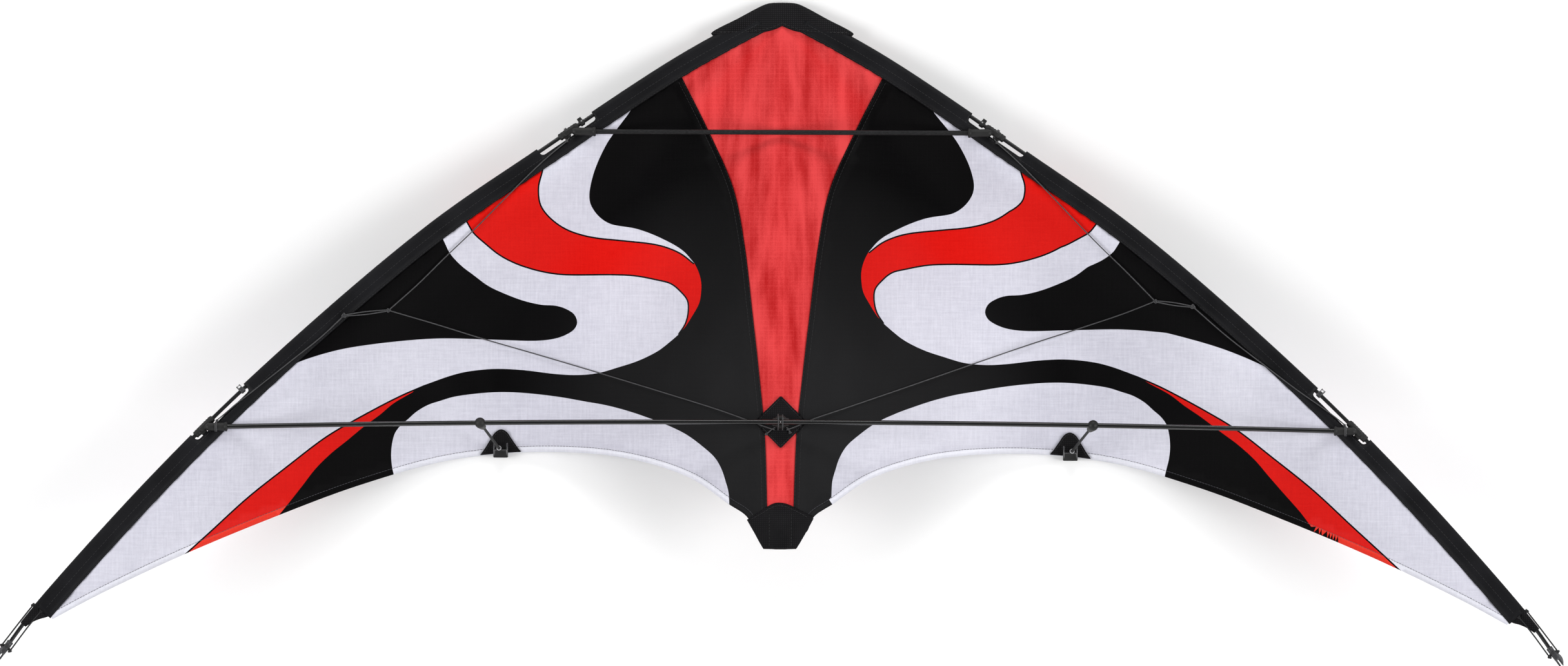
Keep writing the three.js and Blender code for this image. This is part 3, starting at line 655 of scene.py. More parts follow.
# ---- Camera ----
VIEW_WIDTH = 1.6032
LENS = 600
SENSOR = 36
LOOKED_AT_HEIGHT = 0.08
camera = added("camera", bpy.data.cameras.new("camera"))
camera.data.lens = LENS
camera.data.sensor_width = SENSOR
camera.data.clip_end = 300
camera.location = (0.003, 0.0, LOOKED_AT_HEIGHT + VIEW_WIDTH * LENS / SENSOR)
camera.rotation_euler = (0, 0, math.radians(0.233))
bpy.context.scene.camera = camera
bpy.context.scene.view_settings.view_transform = "Standard"


# ---- Cords ----
def on_sail(x, y, lift=LINE_LIFT):
    return np.array([x, y, float(sail_z(x, y)) + lift])


def cord_piece(name, points, radius, side, material, exit_at, with_pieces=()):
    """A free cord as a smooth tube-shaped curve."""
    route = Route(spline(points, 2.0))
    count = int(min(40, max(15, route.length / 7)))
    smooth = mirrored([route.at(a) for a in np.linspace(0, route.length, count)], side)
    data = bpy.data.curves.new(name, "CURVE")
    data.dimensions = "3D"
    data.bevel_depth = radius * MM
    data.bevel_resolution = 4
    data.use_fill_caps = True
    data.resolution_u = 3
    line = data.splines.new("NURBS")
    line.points.add(len(smooth) - 1)
    for point, place in zip(line.points, smooth):
        point.co = (*(place * MM), 1)
    line.use_endpoint_u = True
    line.order_u = 3
    data.materials.append(material)
    made = added(name, data)
    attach(made, BODY)
    tuple(mirrored(exit_at, side) * MM)
    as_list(with_pieces)
    return made


def knot_shape(centre, side, size, radius, turn):
    """An overhand knot: a trefoil of line drawn tight."""
    t = turns(72)
    x = (np.sin(t) + 2 * np.sin(2 * t)) / 3 * size
    y = (np.cos(t) - 2 * np.cos(2 * t)) / 3 * size
    z = -np.sin(3 * t) * size * 0.42
    c, s = math.cos(turn), math.sin(turn)
    points = np.stack([x * c - y * s, x * s + y * c, z], axis=1) + centre
    return tube(mirrored(points, side), radius, 8, closed=True)


def knot_piece(name, centre, side, size, radius, turn, replaces=()):
    return piece(name, knot_shape(centre, side, size, radius, turn), LINE, replaces=replaces)


def ring_shape(along, outward, reach, radius, side):
    """A turn of line round something that runs along the leading edge."""
    ring = [beside_edge(along, outward + reach * math.cos(a), reach * math.sin(a)) for a in turns(28)]
    return tube(mirrored(ring, side), radius, 8, closed=True)


for side, route in BRIDLES.items():
    inner, outer = on_sail(*route["inner_knot"]), on_sail(*route["outer_knot"])
    bridle_knot = knot_piece(f"bridle_knot_line_{side}", inner, side, 1.9, 0.62, 0.4, [f"bridle_knot_{side}"])
    tow_knot = knot_piece(f"tow_knot_line_{side}", outer, side, 2.2, 0.7, 1.1, [f"tow_knot_{side}"])
    for leg, knot, pieces_on in (("upper_leg", inner, [bridle_knot]), ("inner_leg", inner, []),
                                 ("outer_leg", outer, [tow_knot])):
        lying = [on_sail(*p) for p in route[leg]]
        made = cord_piece(f"{leg}_line_{side}", [*lying, knot], LINE_RADIUS, side, LINE, lying[0], pieces_on)
        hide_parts(f"bridle_{leg}_{side}")
    for strand, shift in (("front", 1.1), ("back", -1.1)):
        aside = np.array([0, shift, 0])
        middle = (inner + outer) / 2 + aside * 1.3
        made = cord_piece(f"tow_loop_{strand}_line_{side}", [inner + 0.5 * aside, middle, outer + 0.5 * aside],
                          LINE_RADIUS, side, LINE, inner + 0.5 * aside)
        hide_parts(f"tow_loop_{strand}_{side}")

sleeve_end = along_at_x(SLEEVE_END_X) + 1
for side in SIDES:
    for which, at_sleeve, at_nock in (("inner", -6, -5.2), ("outer", 4.4, 5.2)):
        points = [beside_edge(sleeve_end, at_sleeve, 0), beside_edge(sleeve_end + 18, 0.95 * at_sleeve, 0),
                  beside_edge(edge.length - 1, at_nock, 0)]
        made = cord_piece(f"bungee_{which}_line_{side}", points, 0.8, side, BUNGEE, points[0])
        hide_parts(f"tip_bungee_{which}_{side}")


# ---- Sail ----
def distance_to(line, points):
    """How far each point is from a line of points."""
    line, points = np.asarray(line, float), np.asarray(points, float)
    nearest = np.full(len(points), 1e9)
    for a, b in zip(line, line[1:]):
        along = b - a
        share = np.clip(((points - a) @ along) / max(1e-9, float(along @ along)), 0, 1)
        nearest = np.minimum(nearest, np.linalg.norm(points - a - share[:, None] * along, axis=1))
    return nearest


def under_sleeve(from_x, to_x, count):
    """A line just under the sleeve's sewn edge."""
    tucked = SLEEVE_WIDTH - 5
    return np.array([beside_edge(a, -tucked, 0)[:2] for a in
                     np.linspace(along_at_x(from_x), along_at_x(to_x), count)])


FIELDS = {name: spline(points, 3.0) for name, points in {
    "upper_inner": UPPER_FIELD_INNER, "band_top": BAND_TOP, "band_bottom": BAND_BOTTOM, "band_end": BAND_END,
    "field_bottom": FIELD_BOTTOM, "flame_outer": FLAME_OUTER, "flame_inner": FLAME_INNER, "tongue": TONGUE,
    "scallop": SCALLOP}.items()}
HEM_LINES = [offset_line(trailing, HEM + s) for s in (-0.25, 0.25)]
STRIP_LINES = [offset_line(seam, SEAM_STRIP + s) for s in (-0.2, 0.2)]
WING_MATERIALS = [BLACK, WHITE, RED, WHITE_HEM, RED_HEM]
WING_BLACK, WING_WHITE, WING_RED, WING_WHITE_HEM, WING_RED_HEM = range(5)


def closed(*lines):
    return np.concatenate([np.asarray(line, float) for line in lines])


def settled(line, side):
    """A printed field's edge on one side: the right wing's print sits a little nearer the nose than the left's."""
    share = np.clip(distance_to(inner_edge[:, :2], line) / 50, 0, 1)
    return line + share[:, None] * (0, PRINT_RISE[side])


def raised(x, y):
    """The doubled cloth of the hem and of the strip beside the centre seam."""
    places = np.stack([x, y], axis=1)
    hem = np.clip((HEM + 0.25 - distance_to(trailing, places)) / 0.5, 0, 1)
    strip = np.clip((SEAM_STRIP + 0.2 - distance_to(seam, places)) / 0.4, 0, 1)
    return 0.35 * hem + 0.45 * strip


def wing_surface(x, y, side, lift):
    return np.stack([x, y, sail_z(x, y) + creases(x, y, side) + lift], axis=1)


def wing(side):
    rim = under_sleeve(112, 756.5, 180)
    outline = closed(seam, trailing[(trailing[:, 0] > 14) & (trailing[:, 0] < 744)], rim[::-1])
    f = {name: settled(line, side) for name, line in FIELDS.items()}
    f["flame_inner"] = f["flame_inner"] + np.linspace(0, 1, len(f["flame_inner"]))[:, None] * FLAME_SHIFT[side]
    band_top_edge = offset_line(f["band_top"], 2 * OUTLINE_HALF)
    band_bottom_edges = [offset_line(f["band_bottom"], s * OUTLINE_HALF) for s in (-1, 1)]
    flame_edge = offset_line(f["flame_outer"], -2 * OUTLINE_HALF)
    lines = [*f.values(), band_top_edge, *band_bottom_edges, flame_edge, *HEM_LINES, *STRIP_LINES]
    flat, triangles = patchwork(outline, lines, 8.5)
    centres = flat[triangles].mean(axis=1)
    beyond_tip = [(660, -330), (850, -420), (850, 50), (500, 200), (350, 160)]
    painted = np.full(len(triangles), WING_BLACK)
    fields = [
        (closed(f["band_bottom"], f["field_bottom"], f["flame_outer"], beyond_tip), WING_WHITE),
        (closed(f["tongue"], [(560, 0), (420, 110)]), WING_BLACK),
        (closed(f["upper_inner"], f["band_top"][::-1]), WING_WHITE),
        (closed(f["band_top"], f["band_end"], f["band_bottom"][::-1]), WING_RED),
        (closed(f["band_top"], band_top_edge[::-1]), WING_BLACK),
        (closed(band_bottom_edges[0], band_bottom_edges[1][::-1]), WING_BLACK),
        (closed(f["flame_inner"], flame_edge[::-1]), WING_RED),
        (closed(f["scallop"], [(45, -240), (392, -240)]), WING_WHITE),
    ]
    for polygon, colour in fields:
        painted[inside(polygon, centres)] = colour
    hem = inside(closed(offset_line(trailing, -30), HEM_LINES[0][::-1]), centres)
    painted[hem & (painted == WING_WHITE)] = WING_WHITE_HEM
    painted[hem & (painted == WING_RED)] = WING_RED_HEM
    points = wing_surface(flat[:, 0], flat[:, 1], side, raised(flat[:, 0], flat[:, 1]))
    made = piece(f"wing_{side}", (points, triangles), WING_MATERIALS, side,
                 replaces=[f"wing_panel_{side}"], painted=painted)
    return thicken(made, CLOTH)


def centre_creases(x, y):
    """Lengthwise creases that fade out at the seams and over the spine, in millimetres."""
    from_seam = distance_to(seam, np.stack([np.abs(x), y], axis=1))
    waves = 0.35 * np.sin(x / 3.1 + 1.2 * np.sin(y / 60)) + 0.3 * np.sin(x / 7.0 + 2.0 * np.sin(y / 110))
    return np.clip((from_seam - 8) / 10, 0, 1) * waves * np.clip((np.abs(x) - 3) / 8, 0, 1)


def centre_panel():
    half = closed([(0, -207), (10, -207)], offset_line(seam, 2.0)[::-1], under_sleeve(112, 30, 40), [(0, 322)])
    outline = closed(half[:-1], half[-1:], half[1:-1][::-1] * (-1, 1))
    seams = [offset_line(seam, 0.6), offset_line(seam, 0.6) * (-1, 1)]
    flat, triangles = patchwork(outline, seams, 6.5)
    x, y = flat[:, 0], flat[:, 1]
    z = sail_z(x, y) - 0.55 + centre_creases(x, y)
    made = piece("centre_sail", (np.stack([x, y, z], axis=1), triangles), CENTRE_RED,
                 replaces=["centre_panel"])
    return thicken(made, CLOTH)


def stitches(name, path, side=None, length=2.6, gap=0.6, radius=0.24, material=DARK_THREAD):
    """A row of lock stitches along a line in space: short threads whose ends dip into the cloth."""
    route = Route(path)
    shapes = []
    along = gap
    while along + length < route.length:
        points = [route.at(along + length * s) - np.array([0, 0, dip * radius]) for s, dip in
                  ((0, 1.2), (0.15, 0.1), (0.5, -0.1), (0.85, 0.1), (1, 1.2))]
        shapes.append(tube(points, [radius * 0.7, radius, radius, radius, radius * 0.7], 5))
        along += length + gap
    return piece(name, merged(*shapes), material, side)


centre_sail = centre_panel()
for side in SIDES:
    made = wing(side)
    hem_row = offset_line(trailing[trailing[:, 0] > 30], HEM - 0.5)
    stitches(f"hem_stitches_{side}", wing_surface(hem_row[:, 0], hem_row[:, 1], side, 0.62), side, material=THREAD)
    for row, inset in (("inner", 1.0), ("outer", SEAM_STRIP - 1.1)):
        line = offset_line(seam, inset)
        line = line[line[:, 1] > -186]
        on_seam = wing_surface(line[:, 0], line[:, 1], side, 0.72)
        stitches(f"seam_stitches_{row}_{side}", on_seam, side, 3.0, 0.8, 0.2)


# ---- Sleeves along the leading edges ----
SLEEVE_SECTION = [(-18, 0.5), (-13, 0.8), (-8.5, 1.4), (-4.5, 2.3), (-1.2, 2.85), (1.4, 2.4), (2.9, 1.2), (3.25, 0)]
section = Route(spline(SLEEVE_SECTION + [(x, -z) for x, z in SLEEVE_SECTION[-2::-1]], 0.5))


def front_mark(outward):
    """How far round the section its front lies this far outward."""
    front = len(section.points) // 2
    return float(np.interp(outward, section.points[:front, 0], section.marks[:front]))


def rounded(low, high, radius, steps):
    """A rectangle with round corners, as a closed loop of points."""
    loop = []
    for cx, cy, start in ((high[0], high[1], 0), (low[0], high[1], 90), (low[0], low[1], 180), (high[0], low[1], 270)):
        centre = (cx - math.copysign(radius, cx - (low[0] + high[0]) / 2),
                  cy - math.copysign(radius, cy - (low[1] + high[1]) / 2))
        for turn in np.radians(np.linspace(start, start + 90, steps)):
            loop.append((centre[0] + radius * math.cos(turn), centre[1] + radius * math.sin(turn)))
    return np.array(loop)


def sleeve_point(u, v):
    outward, front = section.at(v)
    slack = 0.25 * math.sin(u / 11) * math.sin(u / 47 + 1) * min(1.0, max(0.0, -outward / 8))
    return beside_edge(u, outward, front + math.copysign(slack, front))


def sleeve(side):
    start, end = SLEEVE_START + 4, along_at_x(SLEEVE_END_X)
    corners = [(start, 0), (end, 0), (end, section.length), (start, section.length)]
    outline = []
    for a, b in zip(corners, corners[1:] + corners[:1]):
        count = max(2, round(math.dist(a, b) / 5))
        outline += [(a[0] + (b[0] - a[0]) * i / count, a[1] + (b[1] - a[1]) * i / count) for i in range(count)]
    open_from, open_to = front_mark(-OPENING_DEPTH), section.length - front_mark(-OPENING_DEPTH)
    openings = [(along_at_x(low), along_at_x(high)) for low, high in (UPPER_OPENING_X, LOWER_OPENING_X)]
    holes = [rounded((low, open_from), (high, open_to), 4.0, 5) for low, high in openings]
    rows = [[(u, v) for u in np.linspace(start, end, 150)] for v in np.arange(open_from + 2, open_to - 1, 1.5)]
    flat, triangles = patchwork(outline, rows, 7.0, holes)
    made = piece(f"edge_sleeve_{side}", (np.array([sleeve_point(u, v) for u, v in flat]), triangles), SLEEVE, side,
                 replaces=[f"leading_edge_sleeve_{side}"])
    thicken(made, SLEEVE_CLOTH, 1)
    for row, outward, gaps in (("edge", -SLEEVE_WIDTH + 1.2, []), ("pocket", -8.2, openings)):
        path = [sleeve_point(a, front_mark(outward)) + FRONT * 0.55 for a in np.arange(start + 4, end - 2, 2.5)
                if not any(low - 3 < a < high + 3 for low, high in gaps)]
        stitches(f"sleeve_stitches_{row}_{side}", path, side, 3.0, 0.8, 0.22)


def laid(points, top):
    """Flat points laid on a surface."""
    points = np.asarray(points, float)
    return np.stack([points[:, 0], points[:, 1], top(points[:, 0], points[:, 1])], axis=1)


def patch(name, outline, top, replaced, side=None):
    """A single layer of webbing sewn onto the sail."""
    flat, triangles = patchwork(outline, (), 2.0)
    made = piece(name, (laid(flat, top), triangles), WEBBING, side, replaces=[replaced])
    thicken(made, 0.9)


def double_layer(triangles, count):
    """The faces of two layers over the same flat points, the second turned over."""
    return [*map(tuple, triangles), *(tuple(int(i) + count for i in reversed(f)) for f in triangles)]


def pouch(name, outline, middle, front, back, soft, spacing, material, replaced):
    """Two layers of webbing that meet round the outline and swell over what lies between them."""
    flat, triangles = patchwork(outline, (), spacing)
    x, y = flat[:, 0], flat[:, 1]
    share = np.clip(distance_to(closed(outline, outline[:1]), flat) / soft, 0, 1)
    swell = np.sqrt(1 - (1 - share) ** 2)
    top = np.stack([x, y, middle(x, y) + 0.7 + swell * front(x, y)], axis=1)
    low = np.stack([x, y, middle(x, y) - 0.7 - swell * back(x, y)], axis=1)
    made = piece(name, (np.concatenate([top, low]), double_layer(triangles, len(flat))), material,
                 replaces=[replaced])
    thicken(made, 0.8)


def nose_patch():
    half = [(0, 338.4), (10, 338.2), (17, 336.8), (45, 322.3), (73, 306.6), (71.5, 304.8), (52, 305.8), (26, 307.3),
            (9, 311), (0, 315.2)]
    right = spline(half, 2.5)
    outline = closed(right[:-1], right[1:][::-1] * (-1, 1))
    ridge = edge.points[edge.points[:, 0] < 100][:, :2]

    def front(x, y):
        rods = distance_to(ridge, np.stack([np.abs(x), y], axis=1))
        return 0.9 + 2.6 * np.exp(-((rods / 4.2) ** 2))

    def back(x, y):
        return front(x, y) + 4.6 * np.exp(-((x / 5.5) ** 4))

    pouch("nose_pouch", outline, lambda x, y: frame_z(y), front, back, 3.5, 2.6, NOSE_WEBBING, "nose_patch")
    row = spline([(68, 308), (50, 308.4), (27, 310), (12, 313), (0, 318)], 2.0)
    row = closed(row, row[:-1][::-1] * (-1, 1))
    stitches("nose_stitches", laid(row, lambda x, y: frame_z(y) + 0.85 + front(x, y)), None, 3.0, 1.0, 0.3)


def tail_patch():
    outline = spline([(-34, -191), (-24, -184.5), (-14, -178), (-5, -173.8), (5, -174.3), (15, -178.3), (25, -183.3),
                      (33.5, -187)], 2.5)
    outline = closed(outline, [(33.6, -190), (29, -198.5), (24.6, -206.5), (20, -214.5), (16.3, -220.4), (8, -220.6),
                               (0, -220.6), (-8, -220.6), (-17.2, -220.5), (-21, -214), (-25.4, -206), (-30, -198)])

    def front(x, y):
        channel = np.clip((10.2 - np.abs(x)) / 1.6, 0, 1)
        return 0.35 + 1.1 * channel * channel * (3 - 2 * channel)

    def back(x, y):
        return 0.3 + 8.0 * np.exp(-((x / 5.4) ** 4))

    pouch("tail_pouch", outline, sail_z, front, back, 2.2, 2.2, WEBBING, "tail_patch")
    for side, sign in SIDES.items():
        row = laid([(11.2 * sign, y) for y in np.arange(-218, -181, 2.0)], lambda x, y: sail_z(x, y) + 1.65)
        stitches(f"tail_stitches_{side}", row, None, 2.6, 0.8, 0.26)
    rim = [(-30, -190.5), (-20, -185), (-12, -180), (-4, -176.6), (5, -177.2), (14, -181), (24, -186), (29.5, -189.5)]
    row = laid(spline(rim, 2.0), lambda x, y: sail_z(x, y) + 1.75 + 1.1 * (np.abs(x) < 9.5))
    stitches("tail_stitches_rim", row, None, 2.6, 0.8, 0.26)


def diamond_patch():
    reach, middle = 38 / math.sqrt(2), LOWER_SPREADER_Y[0]

    def square(size):
        corners = [(0, size), (size, 0), (0, -size), (-size, 0)]
        return np.array([(a[0] + (b[0] - a[0]) * t, middle + a[1] + (b[1] - a[1]) * t)
                         for a, b in zip(corners, corners[1:] + corners[:1]) for t in np.linspace(0.03, 0.97, 16)])

    def top(x, y):
        return sail_z(x, y) + 1.3 + 2.4 * np.exp(-((x / 8.5) ** 2 + ((y - middle) / 8.5) ** 2))

    patch("diamond_webbing", square(reach), top, "diamond_patch")
    row = square(reach - 2.4)
    stitches("diamond_stitches", laid(closed(row, row[:1]), lambda x, y: top(x, y) + 0.55), None, 2.4, 0.7, 0.27)


def standoff_patch(side):
    foot = STANDOFFS[side][1]
    arch = [(21, 0.8), (17.6, 5), (11.5, 14), (6, 22)]
    sides = spline([*arch, (0, 25), *((-x, y) for x, y in reversed(arch))], 1.5)
    base = [(x, 0.5) for x in np.linspace(-19.5, 19.5, 14)]
    loop = closed(sides, base)
    outline = np.stack([loop[:, 0] + foot, loop[:, 1] + trailing_y(foot + loop[:, 0])], axis=1)

    def top(x, y):
        return sail_z(x, y) + creases(x, y, side) * 0.6 + 1.5

    patch(f"standoff_webbing_{side}", outline, top, f"standoff_patch_{side}", side)
    row = sides[2:-2]
    row = np.stack([foot + row[:, 0] * 0.87, trailing_y(foot + row[:, 0]) + row[:, 1] * 0.9 + 0.6], axis=1)
    stitches(f"standoff_stitches_{side}", laid(row, lambda x, y: top(x, y) + 0.55), side, 2.2, 0.7, 0.25)


def tip_tab(side):
    """The black webbing that narrows from the sleeve's end to the tip."""
    end = along_at_x(SLEEVE_END_X)
    inner = spline([(end - 5, -16.4), (end + 1, -14.6), (end + 7, -10.4), (end + 15, -6.2), (end + 23, -3.4)], 1.2)
    outer = [(a, 2.75) for a in np.arange(end - 5, end + 23.5, 1.2)]
    outline = closed(inner, outer[::-1])
    rows = [[(a, v) for a in np.arange(end - 3.8, end + 22, 1.6)] for v in (-2.75, -1.9, -0.9, 0, 0.9, 1.9)]
    flat, triangles = patchwork(outline, rows, 1.6)

    def layer(face):
        swell = 0.45 + np.sqrt(np.maximum(0, 2.95**2 - flat[:, 1] ** 2)) * (np.abs(flat[:, 1]) < 2.95)
        return [beside_edge(a, v, face * lift) for (a, v), lift in zip(flat, swell)]

    shape = np.array([*layer(1), *layer(-1)]), double_layer(triangles, len(flat))
    made = piece(f"tip_tab_{side}", shape, WEBBING, side)
    thicken(made, 0.5)


nose_patch()
tail_patch()
diamond_patch()
for side in SIDES:
    sleeve(side)
    tip_tab(side)
    standoff_patch(side)


# ---- Rods ----
def rod(name, points, radius, material, side, replaces, body=BODY, sides=28):
    """A rod with slightly eased ends."""
    route = Route(points)
    marks = [0, 0.15, 0.35, *np.linspace(1, route.length - 1, max(2, round(route.length / 12))),
             *(route.length - m for m in (0.35, 0.15, 0))]
    ease = [0.82, 0.95, 1, *[1] * (len(marks) - 6), 1, 0.95, 0.82]
    shape = tube([route.at(m) for m in marks], [radius * e for e in ease], sides)
    return piece(name, shape, material, side, body, replaces)


def lower_spreader_point(x):
    share = (x / LOWER_SPREADER_HALF) ** 2
    middle_y, end_y = LOWER_SPREADER_Y
    front = (frame_z(middle_y) + LOWER_BOW) * (1 - share) + (frame_z(end_y) + ARM_RISE) * share
    return np.array([x, middle_y + (end_y - middle_y) * share, front])


def upper_spreader_point(x):
    return np.array([x, UPPER_SPREADER_Y, frame_z(UPPER_SPREADER_Y) + ARM_RISE])


rod("upper_spreader_rod", [upper_spreader_point(-UPPER_SPREADER_HALF), upper_spreader_point(UPPER_SPREADER_HALF)],
    SPREADER_RADIUS, MATTE_ROD, None, ["upper_spreader"])
rod("spine_rod", [(0, y, frame_z(y) - SPINE_DROP) for y in (331, -214)], SPINE_RADIUS, GLOSS_ROD, None,
    ["spine"])
for side in SIDES:
    rod(f"lower_spreader_rod_{side}", [lower_spreader_point(x) for x in np.linspace(0.2, LOWER_SPREADER_HALF, 60)],
        SPREADER_RADIUS, GLOSS_ROD, side, [f"lower_spreader_{side}"])
    joint = along_at_x(EDGE_JOINT_X)
    for part, low, high in (("upper", 0.1, joint - 0.3), ("lower", joint + 0.3, edge.length - 0.1)):
        rod(f"edge_rod_{part}_{side}", [edge.at(a) for a in np.linspace(low, high, 90)], EDGE_ROD_RADIUS, GLOSS_ROD,
            side, [f"leading_edge_rod_{part}_{side}"])
    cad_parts[f"leading_edge_ferrule_{side}"].data.materials[0] = BARE_METAL
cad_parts["lower_spreader_ferrule"].data.materials[0] = BARE_METAL


# ---- Fittings on the leading edge ----
def on_edge_frame(along):
    """The rod's axis, its direction, and the directions outward and to the front there."""
    tangent = edge.tangent(min(max(along, 0), edge.length))
    return beside_edge(along, 0, 0), tangent, np.cross(FRONT, tangent), FRONT


def bored(made, points, radius, side, sides=20):
    """Drills a round hole along points through a piece."""
    return drilled(made, place_side(tube(points, radius, sides), side))


def across_block(along, offset, size, bevel):
    """A block at an (along, outward, front) offset from a place on the rod, square to the rod."""
    centre, *axes = on_edge_frame(along)
    return block(centre + np.dot(offset, axes), size, axes, bevel)


def bored_on_edge(made, marks, side):
    return bored(made, [beside_edge(m, 0, 0) for m in marks], EDGE_ROD_RADIUS + BORE_GAP, side)


def edge_fitting(which, x_range, mouth_x, spreader_end, spreader_point, side):
    """A rubber fitting: a ribbed clip round the leading-edge rod, and an arm that holds the spreader's end."""
    low, high = (along_at_x(x) for x in x_range)
    middle = (low + high) / 2
    marks = np.linspace(low, high, 25)
    ribs = [FITTING_RADIUS - 0.15 + 0.28 * math.cos((m - low) * 2 * math.pi / 3.1) - 0.9 * max(0, 1 - (m - low) / 1.2)
            - 0.9 * max(0, 1 - (high - m) / 1.2) for m in marks]
    clip = tube([beside_edge(m, 0, 0) for m in marks], ribs, 28)
    end = spreader_point(spreader_end)
    along = end - spreader_point(mouth_x)
    along /= np.linalg.norm(along)
    root = min(x_range[1] - 6, spreader_end + 6) - spreader_end

    def at(x):
        return end + along * (x - spreader_end)

    length = root + spreader_end - mouth_x
    arm = lathe([(0, 3.9), (0.3, 4.75), (1.2, 4.95), (2.3, 4.7), (3.1, 4.15), (length * 0.55, 4.0), (length - 4, 4.15),
                 (length + 1, 3.9), (length + 3.2, 2.6), (length + 4, 0.5)], at(mouth_x), along, 32)
    web = across_block(middle, (0, -1.0, 2.4), (12.5, 5.2, 6.0), 1.2)
    tab = across_block(middle, (4.0, -4.4, 0.3), (6.5, 3.4, 3.6), 1.0)
    made = piece(f"{which}_fitting_{side}", merged(clip, arm, web, tab), RUBBER, side,
                 replaces=[f"{which}_edge_fitting_{side}"])
    moulded(made, 0.42, 3)
    bored(made, [at(mouth_x - 5), at(spreader_end + RUNNING_GAP)], SPREADER_RADIUS + BORE_GAP, side)
    bored_on_edge(made, (low - 4, low, middle, high, high + 4), side)


def collar(along):
    """A ring with eased edges round the leading-edge rod."""
    half, radius = STOPPER_LENGTH / 2, STOPPER_RADIUS
    marks = [-half, -half + 0.25, -half + 0.7, 0, half - 0.7, half - 0.25, half]
    radii = [radius - 0.7, radius - 0.2, radius, radius + 0.05, radius, radius - 0.2, radius - 0.7]
    return tube([beside_edge(along + m, 0, 0) for m in marks], radii, 28)


def upper_stopper(side):
    along, body = along_at_x(UPPER_STOPPER_X), f"upper_stopper_{side}"
    tab = across_block(along, (0, 4.0, 0), (STOPPER_LENGTH - 0.4, 3.8, 2.8), 0.6)
    made = piece(f"upper_stop_{side}", merged(collar(along), tab), RUBBER, side, body,
                 [f"upper_stopper_{side}"])
    moulded(made, 0.3, 2)
    bored_on_edge(made, (along - 5, along + 5), side)
    lug = across_block(along, (-0.4, 1.2, 3.1), (1.6, 1.5, 1.2), 0.4)
    piece(f"upper_stop_lug_{side}", lug, CLEAR_PALE, side, body)


def lower_stopper(side):
    """A clear clip: a collar, a square loop on its outer side, and a hook."""
    along, body = along_at_x(LOWER_STOPPER_X), f"lower_stopper_{side}"
    wall = STOPPER_LENGTH / 2 - 0.55
    shapes = [collar(along), *(across_block(along, (s * wall, 4.5, 0), (0.9, 3.6, 2.6), 0.3) for s in (-1, 1)),
              across_block(along, (0, 5.6, 0), (STOPPER_LENGTH - 0.2, 0.9, 2.6), 0.3)]
    made = piece(f"lower_stop_{side}", merged(*shapes), CLEAR, side, body,
                 [f"lower_stopper_{side}"])
    moulded(made, 0.24, 2)
    bored_on_edge(made, (along - 5, along + 5), side)
    centre, *axes = on_edge_frame(along)
    hook = [centre + np.dot(offset, axes) for offset in
            ((-1.4, 2.6, 2.7), (-1.3, 3.6, 3.2), (-0.6, 4.8, 3.1), (0.4, 5.2, 3.0), (1.3, 4.6, 3.0), (1.5, 3.5, 3.1),
             (1.1, 2.7, 2.8))]
    piece(f"lower_stop_hook_{side}", tube(spline(hook, 0.4), 0.42, 10), CLEAR_PALE, side, body)


def nock(side):
    """The split nock on the tip, with a leaf-shaped fin."""
    start, radius = edge.length - NOCK_COVER, 3.4
    tip, tangent, outwards, _ = on_edge_frame(edge.length)

    def at(along):
        return tip + tangent * (along - edge.length)

    shapes = [lathe([(0, 2.5), (0.15, 3.15), (0.7, radius), (2.2, radius), (2.8, 3.1), (3.4, radius - 0.05), (8, 3.2),
                     (12, 3.0), (14.6, 2.85), (15.4, 2.3), (15.6, 0.4)], at(start), tangent, 32)]
    for s in (-1, 1):
        prong = spline([at(start + d) + outwards * s * o for d, o in
                        ((12, 1.3), (15, 1.55), (18, 1.6), (21, 1.6), (23.6, 1.45))], 0.6)
        radii = np.interp(np.linspace(0, 1, len(prong)), [0, 0.8, 1], [1.15, 1.0, 0.55])
        shapes.append(tube(prong, radii, 16))
    made = piece(f"tip_nock_{side}", merged(*shapes), CLEAR, side, replaces=[f"nock_{side}"])
    moulded(made, 0.28, 2)
    bored(made, [at(start - 3), at(edge.length + 0.3)], EDGE_ROD_RADIUS + BORE_GAP, side)
    leaf = [(along, 2.2 + 3.2 * math.sin(math.pi * t) ** 0.8) for t, along in
            zip(np.linspace(0, 1, 14), np.linspace(start + 7, start + 22.5, 14))]
    leaf += [(along, 1.2) for along, _ in reversed(leaf)]
    count = len(leaf)
    verts = np.array([beside_edge(*place, face) for face in (-0.55, 0.55) for place in leaf])
    rim = [(i, (i + 1) % count, count + (i + 1) % count, count + i) for i in range(count)]
    ends = [tuple(reversed(range(count))), tuple(range(count, 2 * count))]
    fin = piece(f"nock_fin_{side}", (verts, rim + ends), CLEAR_GREY, side)
    moulded(fin, 0.22, 2)


def bungee_ties(side):
    """The bungee's knots at the nock and at the sleeve's end, and its turn round the nock."""
    at_nock, at_sleeve = edge.length - 1.5, along_at_x(SLEEVE_END_X) + 0.6
    ties = [knot_shape(beside_edge(along, outward, 0), side, size, 0.7, turn) for along, outward, size, turn in
            ((at_nock, -4.9, 1.7, 0.8), (at_nock, 4.9, 1.7, 2.0),
             (at_sleeve, -6, 1.8, 0.3), (at_sleeve, 4.2, 1.8, 1.4))]
    ties.append(ring_shape(edge.length - 3.2, 0, 4.0, 0.65, side))
    piece(f"bungee_ties_{side}", merged(*ties), BUNGEE)


